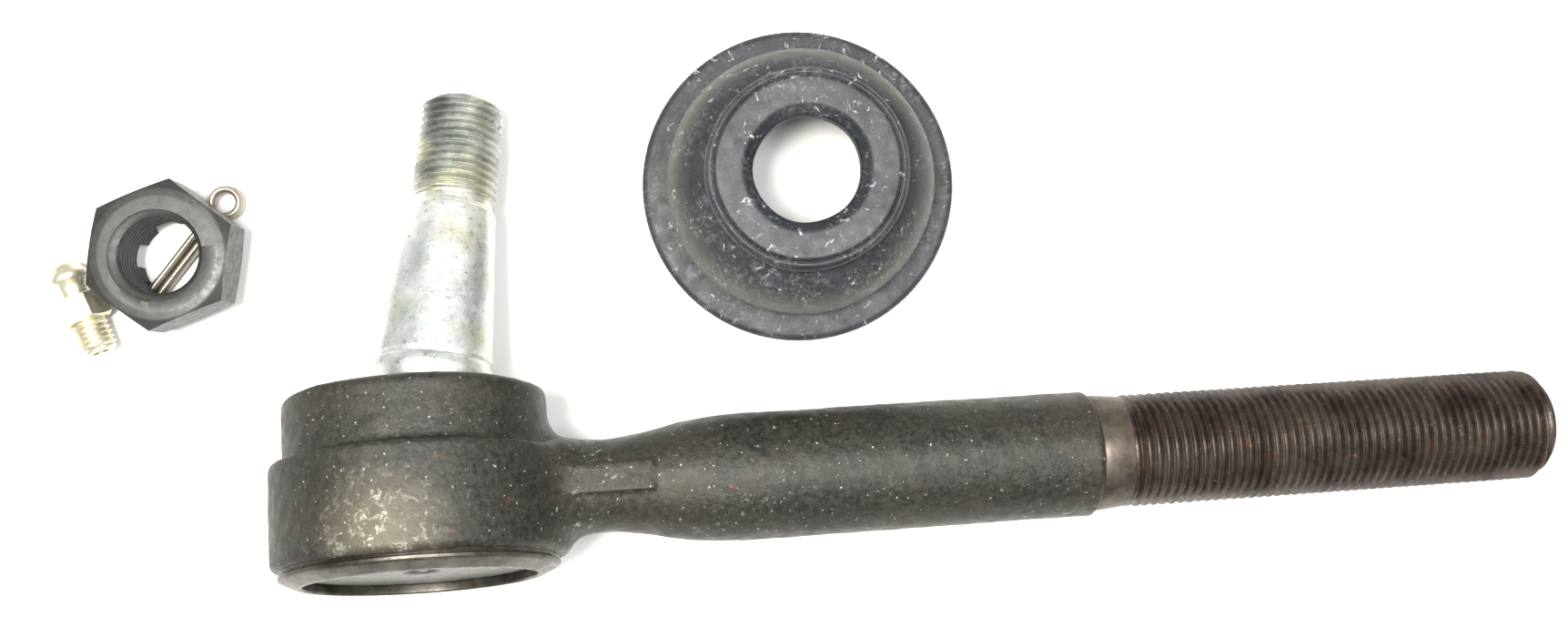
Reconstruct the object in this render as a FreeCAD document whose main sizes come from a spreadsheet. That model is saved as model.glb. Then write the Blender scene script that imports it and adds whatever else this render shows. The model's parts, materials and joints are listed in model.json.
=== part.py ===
import FreeCAD
import Part
import math
import os
import Sketcher

# Outer tie rod end: a ball stud in a forged head with a threaded shank, its
# dust boot, castle nut, cotter pin and grease fitting lying loose beside it.
#
# Two frames are used.
#   Rod frame: origin at the ball's centre, +X along the shank, +Z along the
#   head's axis towards the stud side. Every piece of the rod end is drawn here.
#   Row frame: same origin, +Z straight up. The rod end lies on its side, on the
#   head, the shank's end and the stud's tip, with the shank along +X.

doc = FreeCAD.newDocument("TieRodEnd")
vector = FreeCAD.Vector

# ---------------------------------------------------------------- dimensions
DIMENSIONS = {
    # Head of the forging, heights along the head's axis from the ball's centre
    "head_top": 15.9, "head_step": 5.3, "head_base": -11.5, "lip_base": -14.1,
    "upper_dia": 42.3, "lower_dia": 46.7, "groove_dia": 44.4, "groove_top": -11.9,
    "lip_dia": 43.7, "lip_edge": -12.9, "rim_dia": 36.8,
    "top_corner": 2.2, "step_corner": 1.6, "base_chamfer": 0.9, "rim_corner": 0.7,
    # Cavity of the head
    "seat_top": 6.97, "funnel_dia": 32.8, "funnel_top": 12.6, "mouth_dia": 33.8,
    "bore_dia": 26.4, "ledge": -10.9, "counterbore_dia": 38.4, "cover_face": -12.5,
    "rim_draft": 0.2,
    # Bearing pieces; the running gap is the radial clearance of each sliding fit
    # and the press gap that of each pressed one
    "running_gap": 0.05, "press_gap": 0.02, "ball_dia": 22.22,
    "liner_top": 6.05, "liner_base": -1.1, "half_ball_top": 8.0, "half_ball_base": 0.55,
    "ball_flat": -8.2, "shaft_dia": 13.6,
    "cup_top": -5.4, "cup_base": -8.8, "cup_hub_dia": 18.6, "cup_hub_base": -9.9,
    "cup_hole_dia": 11.2, "disc_spring_inner": 19.4, "disc_spring_outer": 25.6,
    "disc_spring_thickness": 0.8, "disc_spring_flat": 0.2, "cover_hole_dia": 5.4,
    # Stud, lengths along its own axis from the ball's centre
    "neck_end": 16.0, "collar_start": 17.6, "collar_dia": 19.2, "taper_start": 22.2,
    "taper_groove": 0.7, "taper_groove_dia": 18.0, "taper_dia": 18.8, "taper_end": 48.4,
    "taper_end_dia": 14.7, "taper_chamfer": 0.6, "relief_end": 50.2, "relief_dia": 12.6,
    "stud_length": 68.5, "stud_major": 14.29, "stud_pitch": 1.411, "stud_chamfer": 1.2,
    "cotter_hole_dia": 3.6, "cotter_hole_at": 64.4,
    # Shank, lengths along its axis from the head's axis
    "shank_level": -0.6, "bar_start": 49.0, "bar_dia": 21.0, "bar_end": 112.2,
    "bar_overlap": 0.5, "bar_chamfer": 1.2, "shank_relief_dia": 18.4, "thread_start": 117.6,
    "thread_end": 193.0, "shank_major": 19.05, "shank_pitch": 1.5875, "end_chamfer": 2.0,
    # Neck of the forging
    "neck_root_x": 15.0, "neck_side_x": 24.5, "neck_waist_x": 31.0, "neck_swell_x": 38.5,
    "neck_root_high": 17.4, "neck_side_high": 15.8, "neck_waist_high": 15.2,
    "neck_swell_high": 18.0, "neck_root_wide": 20.0, "neck_side_wide": 17.4,
    "neck_waist_wide": 16.6, "neck_swell_wide": 18.6,
    "land_height": 4.6, "land_start": 20.0, "land_end": 37.6, "land_reach": 9.2,
    # Lie of the rod end on the table and of the stud in the head, in degrees
    "roll": 11.13, "droop": 4.33, "swing_to_shank": 8.28, "swing_to_table": 2.98,
    # Dust boot, heights from the table
    "boot_x": 66.0, "boot_y": 49.4, "boot_flange_dia": 55.2, "boot_flange_high": 2.4,
    "boot_waist_dia": 43.6, "boot_waist_at": 3.4, "boot_bulge_dia": 46.0, "boot_bulge_at": 9.5,
    "boot_shoulder_at": 15.5, "boot_shoulder_dia": 38.6, "boot_throat_dia": 30.6,
    "boot_throat_at": 18.6, "boot_ring_dia": 33.9, "boot_ring_at": 21.0, "boot_high": 26.0,
    "boot_top_dia": 30.8, "boot_ring_edge": 25.2, "boot_mouth_dia": 21.0,
    "boot_hole_dia": 17.8, "boot_mouth_depth": 1.8, "boot_wall": 2.0, "boot_lip_depth": 5.0,
    "boot_corner": 0.6, "boot_round": 0.8, "boot_bulge_low": 3.0, "boot_bulge_high": 3.4,
    "boot_bulge_tuck": 1.1,
    # Castle nut
    "nut_x": -42.0, "nut_y": 42.0, "nut_flats": 22.2, "nut_body": 11.2, "nut_high": 15.9,
    "nut_tower_dia": 19.6, "nut_slot": 4.0, "nut_bore": 13.0, "nut_chamfer": 1.3,
    "nut_face_edge": 0.2, "nut_turn": -10.0,
    # Cotter pin
    "pin_x": -33.9, "pin_y": 51.65, "pin_heading": 230.0, "pin_dia": 3.2, "pin_long": 25.4,
    "pin_short": 22.4, "pin_eye_dia": 6.2, "pin_wire": 1.5, "pin_slit": 0.2, "pin_root": 0.6,
    # Grease fitting, lengths along its axis from the thread's end
    "fitting_x": -55.6, "fitting_y": 26.8, "fitting_heading": 110.0, "fitting_thread_dia": 6.35,
    "fitting_thread": 5.6, "fitting_hex": 7.94, "fitting_hex_end": 10.4, "fitting_neck_dia": 4.6,
    "fitting_neck_end": 12.2, "fitting_head_dia": 6.6, "fitting_head_start": 13.0,
    "fitting_head_end": 14.6, "fitting_long": 16.4, "fitting_tip_dia": 3.6,
    "fitting_bore": 3.0, "fitting_mouth": 1.6, "fitting_bore_end": 14.6, "fitting_lead": 0.6,
    "check_ball_dia": 2.4, "check_spring_dia": 2.4, "check_spring_wire": 0.3,
    "check_spring_long": 7.0, "check_spring_turns": 7, "check_spring_drop": 0.768,
    # How far a cutting shape runs past the surface it cuts
    "overrun": 0.1,
}
# Depth of a 60-degree thread and its flats and flanks, as parts of the pitch
THREAD_DEPTH = 0.54127
ROOT_FLAT = 0.125
FLANK_END = 0.4375
CREST_END = 0.6875
TOLERANCE = 1e-4


def make_sheet():
    """Put every driving dimension in one spreadsheet, with its name as alias."""
    sheet = doc.addObject("Spreadsheet::Sheet", "Dims")
    for row, (name, value) in enumerate(DIMENSIONS.items(), start=1):
        sheet.set(f"A{row}", name)
        sheet.set(f"B{row}", str(value))
        sheet.setAlias(f"B{row}", name)
    doc.recompute()
    return sheet


sheet = make_sheet()


def size(expression):
    """Value of an expression in the sheet's names, as a plain number."""
    result = sheet.evalExpression(expression)
    return float(getattr(result, "Value", result))


# ------------------------------------------------------- how pieces are built
def bind(item, **expressions):
    """Tie an object's properties to expressions in the sheet's names."""
    for name, expression in expressions.items():
        item.setExpression(name, expression)
    return item


def new_body(label):
    body = doc.addObject("PartDesign::Body", label)
    body.Label = label
    return body


def origin_feature(body, role):
    """One of the planes or axes of a body's own origin."""
    return next(f for f in body.Origin.OriginFeatures if f.Role == role)


def outline(body, name, plane, vertices, offset=None):
    """Closed sketch of straight lines; each vertex is a pair of expressions."""
    sketch = body.newObject("Sketcher::SketchObject", name)
    sketch.AttachmentSupport = [(origin_feature(body, plane), "")]
    sketch.MapMode = "FlatFace"
    if offset:
        sketch.setExpression("AttachmentOffset.Base.z", offset)
    points = [vector(size(x), size(y), 0) for x, y in vertices]
    count = len(points)
    lines = [Part.LineSegment(p, points[(i + 1) % count]) for i, p in enumerate(points)]
    sketch.addGeometry(lines, False)
    joins = [Sketcher.Constraint("Coincident", i, 2, (i + 1) % count, 1) for i in range(count)]
    holds = []
    bindings = {}
    for i, (pair, point) in enumerate(zip(vertices, points)):
        hold_vertex(holds, bindings, i, pair, point)
    sketch.addConstraint(joins + holds)
    for place, expression in bindings.items():
        sketch.setExpression(f"Constraints[{count + place}]", expression)
    return sketch


def hold_vertex(holds, bindings, index, pair, point):
    """Hold one vertex at its two coordinates, bound to the sheet."""
    for kind, axis, expression, value in (
        ("DistanceX", -2, pair[0], point.x),
        ("DistanceY", -1, pair[1], point.y),
    ):
        if abs(value) < TOLERANCE:
            holds.append(Sketcher.Constraint("PointOnObject", index, 1, axis))
            continue
        bindings[len(holds)] = expression
        holds.append(Sketcher.Constraint(kind, -1, 1, index, 1, value))


def turn(body, name, sketch, axis, kind="Revolution"):
    """Revolve a sketch about one of its own axes, as added or cut material."""
    feature = body.newObject(f"PartDesign::{kind}", name)
    feature.Profile = sketch
    feature.ReferenceAxis = (sketch, [axis])
    feature.Angle = 360.0
    sketch.Visibility = False
    doc.recompute()
    return feature


def primitive(body, kind, name, shift=None, **expressions):
    """PartDesign primitive on the body's axes, moved along one axis if asked."""
    item = body.newObject(f"PartDesign::{kind}", name)
    bind(item, **expressions)
    if shift:
        axis, expression = shift
        item.setExpression(f"Placement.Base.{axis}", expression)
    doc.recompute()
    return item


def round_edges(body, base, name, radius, wanted):
    """Fillet the edges of base for which wanted(edge) is true."""
    fillet = body.newObject("PartDesign::Fillet", name)
    names = [f"Edge{i}" for i, e in enumerate(base.Shape.Edges, start=1) if wanted(e)]
    fillet.Base = (base, names)
    fillet.setExpression("Radius", radius)
    doc.recompute()
    return fillet


def ring_at(diameter, level):
    """Test for a full circular edge about the Z axis at one height."""
    def wanted(edge):
        curve = edge.Curve
        return (
            isinstance(curve, Part.Circle)
            and abs(curve.Radius - size(diameter) / 2) < TOLERANCE
            and abs(curve.Center.z - size(level)) < TOLERANCE
        )
    return wanted


def thread_vertices(start, end, major, pitch, chamfer):
    """Outline of ring grooves with flat crests, one per pitch, from start on.

    The last turn runs out in the end chamfer. Pairs are (along, radius)."""
    depth = f"{THREAD_DEPTH} * {pitch}"
    turns = int((size(end) - size(chamfer) - size(start)) / size(pitch))
    pairs = []
    for i in range(turns):
        for along, radius in (
            (0.0, f"{major} / 2 - {depth}"),
            (ROOT_FLAT, f"{major} / 2 - {depth}"),
            (FLANK_END, f"{major} / 2"),
            (CREST_END, f"{major} / 2"),
        ):
            pairs.append((f"{start} + {i + along} * {pitch}", radius))
    pairs.append((f"{start} + {turns} * {pitch}", f"{major} / 2 - {depth}"))
    pairs.append((f"{end} - {chamfer} / 2", f"{major} / 2 - {depth}"))
    pairs.append((end, f"{major} / 2 - {chamfer}"))
    return pairs


def swap(pairs):
    return [(y, x) for x, y in pairs]


# ------------------------------------------------------------ the rod forging
def add_head(body):
    """Two stepped cylinders, a shallow groove and the rolled lip below them."""
    sketch = outline(body, "HeadOutline", "XZ_Plane", [
        ("0", "Dims.head_top"),
        ("Dims.upper_dia / 2", "Dims.head_top"),
        ("Dims.upper_dia / 2", "Dims.head_step"),
        ("Dims.lower_dia / 2", "Dims.head_step"),
        ("Dims.lower_dia / 2", "Dims.head_base + Dims.base_chamfer"),
        ("Dims.lower_dia / 2 - Dims.base_chamfer", "Dims.head_base"),
        ("Dims.groove_dia / 2", "Dims.groove_top"),
        ("Dims.lip_dia / 2", "Dims.lip_edge"),
        ("Dims.rim_dia / 2 + Dims.rim_corner", "Dims.lip_base"),
        ("0", "Dims.lip_base"),
    ])
    head = turn(body, "Head", sketch, "V_Axis")
    top = round_edges(body, head, "TopCorner", "Dims.top_corner",
                      ring_at("Dims.upper_dia", "Dims.head_top"))
    return round_edges(body, top, "StepCorner", "Dims.step_corner",
                       ring_at("Dims.lower_dia", "Dims.head_step"))


def neck_section(body, name, along, high, wide):
    """Ellipse across the shank's axis, high along Z and wide along Y."""
    sketch = body.newObject("Sketcher::SketchObject", name)
    sketch.AttachmentSupport = [(origin_feature(body, "YZ_Plane"), "")]
    sketch.MapMode = "FlatFace"
    sketch.setExpression("AttachmentOffset.Base.z", along)
    sketch.setExpression("AttachmentOffset.Base.y", "Dims.shank_level")
    half_high, half_wide = size(high) / 2, size(wide) / 2
    major = max(half_high, half_wide)
    ellipse = Part.Ellipse(vector(0, 0, 0), major, min(half_high, half_wide))
    if half_high > half_wide:
        ellipse.rotate(FreeCAD.Placement(vector(), FreeCAD.Rotation(vector(0, 0, 1), 90)))
    sketch.addGeometry(ellipse, False)
    sketch.addConstraint(Sketcher.Constraint("Coincident", 0, 3, -1, 1))
    return sketch


def add_neck(body):
    """Waisted neck from inside the head to the round bar, with its flash lands."""
    stations = [
        neck_section(body, "NeckRoot", "Dims.neck_root_x", "Dims.neck_root_high",
                     "Dims.neck_root_wide"),
        neck_section(body, "NeckSide", "Dims.neck_side_x", "Dims.neck_side_high",
                     "Dims.neck_side_wide"),
        neck_section(body, "NeckWaist", "Dims.neck_waist_x", "Dims.neck_waist_high",
                     "Dims.neck_waist_wide"),
        neck_section(body, "NeckSwell", "Dims.neck_swell_x", "Dims.neck_swell_high",
                     "Dims.neck_swell_wide"),
        neck_section(body, "NeckEnd", "Dims.bar_start", "Dims.bar_dia - Dims.press_gap",
                     "Dims.bar_dia"),
    ]
    loft = body.newObject("PartDesign::AdditiveLoft", "Neck")
    loft.Profile = stations[0]
    loft.Sections = stations[1:]
    doc.recompute()
    return primitive(body, "AdditiveBox", "FlashLand", **{
        "Length": "Dims.land_end - Dims.land_start",
        "Width": "2 * Dims.land_reach",
        "Height": "Dims.land_height",
        "Placement.Base.x": "Dims.land_start",
        "Placement.Base.y": "-Dims.land_reach",
        "Placement.Base.z": "Dims.shank_level - Dims.land_height / 2",
    })


def add_shank(body):
    """Round bar, relief and threaded end, turned about the shank's own axis."""
    thread = thread_vertices("Dims.thread_start", "Dims.thread_end", "Dims.shank_major",
                             "Dims.shank_pitch", "Dims.end_chamfer")
    pairs = [
        ("Dims.bar_start - Dims.bar_overlap", "0"),
        ("Dims.bar_start - Dims.bar_overlap", "Dims.bar_dia / 2 - 0.1 * Dims.bar_overlap"),
        ("Dims.bar_start + Dims.bar_overlap", "Dims.bar_dia / 2"),
        ("Dims.bar_end - Dims.bar_chamfer", "Dims.bar_dia / 2"),
        ("Dims.bar_end", "Dims.shank_relief_dia / 2"),
    ]
    pairs += thread + [("Dims.thread_end", "0")]
    sketch = outline(body, "ShankOutline", "XZ_Plane", pairs)
    sketch.setExpression("AttachmentOffset.Base.y", "Dims.shank_level")
    return turn(body, "Shank", sketch, "H_Axis")


def cut_cavity(body):
    """Stepped bore for the bearing pieces, spherical seat and flared mouth."""
    below = outline(body, "BoreOutline", "XZ_Plane", [
        ("0", "0"),
        ("Dims.bore_dia / 2", "0"),
        ("Dims.bore_dia / 2", "Dims.ledge"),
        ("Dims.counterbore_dia / 2", "Dims.ledge"),
        ("Dims.counterbore_dia / 2", "Dims.cover_face"),
        ("Dims.rim_dia / 2 - Dims.rim_draft", "Dims.cover_face"),
        ("Dims.rim_dia / 2", "Dims.lip_base - Dims.overrun"),
        ("0", "Dims.lip_base - Dims.overrun"),
    ])
    turn(body, "Bore", below, "V_Axis", "Groove")
    above = outline(body, "MouthOutline", "XZ_Plane", [
        ("0", "Dims.seat_top - 2 * Dims.overrun"),
        ("sqrt((Dims.bore_dia / 2)^2 - Dims.seat_top^2)", "Dims.seat_top - 2 * Dims.overrun"),
        ("Dims.funnel_dia / 2", "Dims.funnel_top"),
        ("Dims.mouth_dia / 2", "Dims.head_top + Dims.overrun"),
        ("0", "Dims.head_top + Dims.overrun"),
    ])
    turn(body, "Mouth", above, "V_Axis", "Groove")
    return primitive(body, "SubtractiveSphere", "Seat",
                     Radius="Dims.bore_dia / 2", Angle1="0",
                     Angle2="asin(2 * Dims.seat_top / Dims.bore_dia)")


def make_housing():
    body = new_body("forged_housing")
    add_head(body)
    add_neck(body)
    cut_cavity(body)
    add_shank(body)
    return body


# ------------------------------------------------------------- bearing pieces
def spherical_ring(label, radius, low, high, cutter):
    """Zone of a sphere between two heights with a cutter taken out of it."""
    zone = bind(doc.addObject("Part::Sphere", label + "_zone"), Radius=radius,
                Angle1=f"asin(({low}) / ({radius}))", Angle2=f"asin(({high}) / ({radius}))")
    cut = doc.addObject("Part::Cut", label)
    cut.Label = label
    cut.Base = zone
    cut.Tool = cutter
    return cut


def make_liner():
    """Floating spherical liner between the half ball and the head's seat."""
    hollow = bind(doc.addObject("Part::Sphere", "liner_hollow"),
                  Radius="Dims.ball_dia / 2 + Dims.running_gap")
    return spherical_ring("seat_liner", "Dims.bore_dia / 2 - Dims.running_gap",
                          "Dims.liner_base", "Dims.liner_top", hollow)


def make_half_ball():
    """Upper half of the ball, a ring that the stud turns in."""
    bore = bind(doc.addObject("Part::Cylinder", "half_ball_bore"),
                Radius="Dims.shaft_dia / 2 + Dims.running_gap", Height="Dims.ball_dia")
    return spherical_ring("half_ball_bearing", "Dims.ball_dia / 2",
                          "Dims.half_ball_base", "Dims.half_ball_top", bore)


def make_stud():
    """Ball stud: lower half ball, shaft, collar, seven-degree taper and thread."""
    body = new_body("ball_stud")
    primitive(body, "AdditiveSphere", "HalfBall", Radius="Dims.ball_dia / 2",
              Angle1="asin(2 * Dims.ball_flat / Dims.ball_dia)", Angle2="asin(1 / Dims.ball_dia)")
    thread = thread_vertices("Dims.relief_end", "Dims.stud_length", "Dims.stud_major",
                             "Dims.stud_pitch", "Dims.stud_chamfer")
    pairs = [
        ("0", "0"),
        ("0", "Dims.shaft_dia / 2"),
        ("Dims.neck_end", "Dims.shaft_dia / 2"),
        ("Dims.collar_start", "Dims.collar_dia / 2"),
        ("Dims.taper_start - Dims.taper_groove", "Dims.collar_dia / 2"),
        ("Dims.taper_start - Dims.taper_groove / 2", "Dims.taper_groove_dia / 2"),
        ("Dims.taper_start", "Dims.taper_dia / 2"),
        ("Dims.taper_end", "Dims.taper_end_dia / 2"),
        ("Dims.taper_end + Dims.taper_chamfer", "Dims.relief_dia / 2"),
    ]
    pairs += thread + [("Dims.stud_length", "0")]
    sketch = outline(body, "StudOutline", "XZ_Plane", swap(pairs))
    turn(body, "Shaft", sketch, "V_Axis")
    hole = primitive(body, "SubtractiveCylinder", "CotterHole",
                     Radius="Dims.cotter_hole_dia / 2", Height="2 * Dims.stud_major")
    hole.Placement = FreeCAD.Placement(
        vector(-size("Dims.stud_major"), 0, size("Dims.cotter_hole_at")),
        FreeCAD.Rotation(vector(0, 1, 0), 90))
    hole.setExpression("Placement.Base.z", "Dims.cotter_hole_at")
    hole.setExpression("Placement.Base.x", "-Dims.stud_major")
    doc.recompute()
    return body


def make_lower_bearing():
    """Cup under the ball, with a hub that locates the disc spring."""
    body = new_body("lower_bearing")
    reach = "(Dims.bore_dia / 2 - Dims.running_gap)"
    sketch = outline(body, "CupOutline", "XZ_Plane", [
        ("Dims.cup_hole_dia / 2", "Dims.cup_top"),
        (reach, "Dims.cup_top"),
        (reach, "Dims.cup_base"),
        ("Dims.cup_hub_dia / 2", "Dims.cup_base"),
        ("Dims.cup_hub_dia / 2", "Dims.cup_hub_base"),
        ("Dims.cup_hole_dia / 2", "Dims.cup_hub_base"),
    ])
    turn(body, "Cup", sketch, "V_Axis")
    primitive(body, "SubtractiveSphere", "BallSeat",
              Radius="Dims.ball_dia / 2 + Dims.running_gap")
    return body


def make_disc_spring():
    """Conical disc spring between the cup and the cover plate."""
    body = new_body("preload_spring")
    sketch = outline(body, "DiscOutline", "XZ_Plane", [
        ("Dims.disc_spring_inner / 2", "Dims.cup_base"),
        ("Dims.disc_spring_inner / 2 + Dims.disc_spring_flat", "Dims.cup_base"),
        ("Dims.disc_spring_outer / 2", "Dims.ledge + Dims.disc_spring_thickness"),
        ("Dims.disc_spring_outer / 2", "Dims.ledge"),
        ("Dims.disc_spring_outer / 2 - Dims.disc_spring_flat", "Dims.ledge"),
        ("Dims.disc_spring_inner / 2", "Dims.cup_base - Dims.disc_spring_thickness"),
    ])
    turn(body, "Disc", sketch, "V_Axis")
    return body


def make_cover():
    """Pressed cover plate with the threaded hole for the grease fitting."""
    body = new_body("cover_plate")
    sketch = outline(body, "CoverOutline", "XZ_Plane", [
        ("Dims.cover_hole_dia / 2", "Dims.ledge"),
        ("Dims.counterbore_dia / 2 - Dims.press_gap", "Dims.ledge"),
        ("Dims.counterbore_dia / 2 - Dims.press_gap", "Dims.cover_face + Dims.press_gap"),
        ("Dims.cover_hole_dia / 2", "Dims.cover_face + Dims.press_gap"),
    ])
    turn(body, "Disc", sketch, "V_Axis")
    return body


# ----------------------------------------------------------- the loose pieces
def make_boot():
    """Rubber dust boot, hollow, standing on its wide flange."""
    body = new_body("dust_boot")
    sketch = outline(body, "BootOutline", "XZ_Plane", [
        ("Dims.boot_flange_dia / 2 - Dims.boot_corner", "0"),
        ("Dims.boot_flange_dia / 2", "Dims.boot_corner"),
        ("Dims.boot_flange_dia / 2", "Dims.boot_flange_high - Dims.boot_corner"),
        ("Dims.boot_flange_dia / 2 - Dims.boot_round", "Dims.boot_flange_high"),
        ("Dims.boot_waist_dia / 2 + Dims.boot_round", "Dims.boot_flange_high"),
        ("Dims.boot_waist_dia / 2", "Dims.boot_waist_at + Dims.boot_corner / 2"),
        ("Dims.boot_bulge_dia / 2 - Dims.boot_corner / 2",
         "Dims.boot_bulge_at - Dims.boot_bulge_low"),
        ("Dims.boot_bulge_dia / 2", "Dims.boot_bulge_at"),
        ("Dims.boot_bulge_dia / 2 - Dims.boot_bulge_tuck",
         "Dims.boot_bulge_at + Dims.boot_bulge_high"),
        ("Dims.boot_shoulder_dia / 2", "Dims.boot_shoulder_at"),
        ("Dims.boot_throat_dia / 2", "Dims.boot_throat_at"),
        ("Dims.boot_ring_dia / 2 - Dims.boot_corner", "Dims.boot_ring_at"),
        ("Dims.boot_ring_dia / 2", "Dims.boot_ring_at + Dims.boot_round"),
        ("Dims.boot_ring_dia / 2", "Dims.boot_ring_edge - Dims.boot_corner"),
        ("Dims.boot_ring_dia / 2 - Dims.boot_round", "Dims.boot_ring_edge"),
        ("Dims.boot_top_dia / 2", "Dims.boot_high"),
        ("Dims.boot_mouth_dia / 2", "Dims.boot_high"),
        ("Dims.boot_hole_dia / 2", "Dims.boot_high - Dims.boot_mouth_depth"),
        ("Dims.boot_hole_dia / 2", "Dims.boot_high - Dims.boot_lip_depth"),
        ("Dims.boot_throat_dia / 2 - 1.6 * Dims.boot_wall",
         "Dims.boot_throat_at - Dims.boot_wall"),
        ("Dims.boot_shoulder_dia / 2 - Dims.boot_wall",
         "Dims.boot_shoulder_at - 0.8 * Dims.boot_wall"),
        ("Dims.boot_bulge_dia / 2 - Dims.boot_wall", "Dims.boot_bulge_at"),
        ("Dims.boot_waist_dia / 2 - Dims.boot_wall", "Dims.boot_waist_at"),
        ("Dims.boot_waist_dia / 2 - Dims.boot_wall", "0"),
    ])
    turn(body, "Skin", sketch, "V_Axis")
    return body


def make_nut():
    """Castle nut: hexagon with both ends chamfered, slotted tower, threaded bore."""
    body = new_body("castle_nut")
    prism = primitive(body, "AdditivePrism", "Hexagon",
                      Circumradius="Dims.nut_flats / sqrt(3)", Height="Dims.nut_body")
    prism.Polygon = 6
    prism.Placement = FreeCAD.Placement(vector(), heading(30))
    primitive(body, "AdditiveCylinder", "Tower", Radius="Dims.nut_tower_dia / 2",
              Height="Dims.nut_high")
    corner = "Dims.nut_flats / sqrt(3)"
    for name, level, sign in (("LowChamfer", "0", 1), ("HighChamfer", "Dims.nut_body", -1)):
        sketch = outline(body, name + "Outline", "XZ_Plane", [
            ("Dims.nut_flats / 2 - Dims.nut_face_edge", level),
            (f"{corner} + Dims.overrun", level),
            (f"{corner} + Dims.overrun", f"{level} + {sign} * Dims.nut_chamfer"),
        ])
        turn(body, name, sketch, "V_Axis", "Groove")
    primitive(body, "SubtractiveCylinder", "Bore", Radius="Dims.nut_bore / 2",
              Height="Dims.nut_high + Dims.overrun")
    slot = primitive(body, "SubtractiveBox", "Slot", **{
        "Length": "2 * Dims.nut_flats",
        "Width": "Dims.nut_slot",
        "Height": "Dims.nut_high",
        "Placement.Base.x": "-Dims.nut_flats",
        "Placement.Base.y": "-Dims.nut_slot / 2",
        "Placement.Base.z": "Dims.nut_body",
    })
    pattern = body.newObject("PartDesign::PolarPattern", "Slots")
    pattern.Originals = [slot]
    pattern.Axis = (origin_feature(body, "Z_Axis"), [""])
    pattern.Angle = 360.0
    pattern.Occurrences = 6
    body.Tip = pattern
    doc.recompute()
    return body


def make_cotter_pin():
    """Split pin along +X: an eye at the origin end, two half-round legs."""
    eye = bind(doc.addObject("Part::Torus", "pin_eye"),
               Radius1="Dims.pin_eye_dia / 2 - Dims.pin_wire / 2", Radius2="Dims.pin_wire / 2")
    legs = []
    for name, length, sign in (("long", "Dims.pin_long", 1), ("short", "Dims.pin_short", -1)):
        rod = bind(doc.addObject("Part::Cylinder", f"pin_{name}_rod"),
                   Radius="Dims.pin_dia / 2", Height=f"{length} - Dims.pin_eye_dia / 2 + Dims.pin_root")
        rod.Placement = FreeCAD.Placement(vector(size("Dims.pin_eye_dia / 2 - Dims.pin_root"), 0, 0),
                                          FreeCAD.Rotation(vector(0, 1, 0), 90))
        half = bind(doc.addObject("Part::Box", f"pin_{name}_half"), Length="2 * Dims.pin_long",
                    Width="Dims.pin_dia", Height="2 * Dims.pin_dia")
        low = "Dims.pin_slit / 2" if sign > 0 else "-Dims.pin_dia - Dims.pin_slit / 2"
        half.setExpression("Placement.Base.y", low)
        half.setExpression("Placement.Base.z", "-Dims.pin_dia")
        leg = doc.addObject("Part::Common", f"pin_{name}_leg")
        leg.Base = rod
        leg.Tool = half
        legs.append(leg)
    pin = doc.addObject("Part::MultiFuse", "cotter_pin")
    pin.Label = "cotter_pin"
    pin.Shapes = [eye] + legs
    return pin


def make_fitting():
    """Straight grease fitting along +Z from the thread's end to the head."""
    body = new_body("grease_fitting")
    sketch = outline(body, "FittingOutline", "XZ_Plane", [
        ("0", "0"),
        ("Dims.fitting_thread_dia / 2 - Dims.fitting_lead", "0"),
        ("Dims.fitting_thread_dia / 2", "Dims.fitting_lead"),
        ("Dims.fitting_thread_dia / 2", "Dims.fitting_thread"),
        ("Dims.fitting_neck_dia / 2", "Dims.fitting_thread"),
        ("Dims.fitting_neck_dia / 2", "Dims.fitting_neck_end"),
        ("Dims.fitting_head_dia / 2", "Dims.fitting_head_start"),
        ("Dims.fitting_head_dia / 2", "Dims.fitting_head_end"),
        ("Dims.fitting_tip_dia / 2", "Dims.fitting_long"),
        ("0", "Dims.fitting_long"),
    ])
    turn(body, "Barrel", sketch, "V_Axis")
    hexagon = primitive(body, "AdditivePrism", "Hexagon", ("z", "Dims.fitting_thread"),
                        Circumradius="Dims.fitting_hex / sqrt(3)",
                        Height="Dims.fitting_hex_end - Dims.fitting_thread")
    hexagon.Polygon = 6
    primitive(body, "SubtractiveCylinder", "Passage", ("z", "-Dims.overrun"),
              Radius="Dims.fitting_bore / 2", Height="Dims.fitting_bore_end + Dims.overrun")
    primitive(body, "SubtractiveCylinder", "Mouth", Radius="Dims.fitting_mouth / 2",
              Height="Dims.fitting_long + Dims.overrun")
    return body


def make_check_ball():
    ball = bind(doc.addObject("Part::Sphere", "grease_check_ball"), Radius="Dims.check_ball_dia / 2")
    ball.Label = "grease_check_ball"
    return ball


def make_check_spring():
    """Coil spring that holds the check ball against its seat."""
    path = bind(doc.addObject("Part::Helix", "check_spring_path"),
                Pitch="(Dims.check_spring_long - Dims.check_spring_wire) / Dims.check_spring_turns",
                Height="Dims.check_spring_long - Dims.check_spring_wire",
                Radius="(Dims.check_spring_dia - Dims.check_spring_wire) / 2")
    section = bind(doc.addObject("Part::Circle", "check_spring_section"),
                   Radius="Dims.check_spring_wire / 2")
    section.Placement = FreeCAD.Placement(
        vector(size("(Dims.check_spring_dia - Dims.check_spring_wire) / 2"), 0, 0),
        FreeCAD.Rotation(vector(1, 0, 0), 90))
    spring = doc.addObject("Part::Sweep", "grease_check_spring")
    spring.Label = "grease_check_spring"
    spring.Sections = [section]
    spring.Spine = (path, [])
    spring.Solid = True
    spring.Frenet = True
    return spring


# --------------------------------------------------------- where pieces lie
def rod_to_row():
    """Placement of the rod frame in the row frame."""
    droop = FreeCAD.Rotation(vector(0, 1, 0), size("Dims.droop"))
    roll = FreeCAD.Rotation(vector(1, 0, 0), -90 - size("Dims.roll"))
    return FreeCAD.Placement(vector(), droop * roll)


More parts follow.
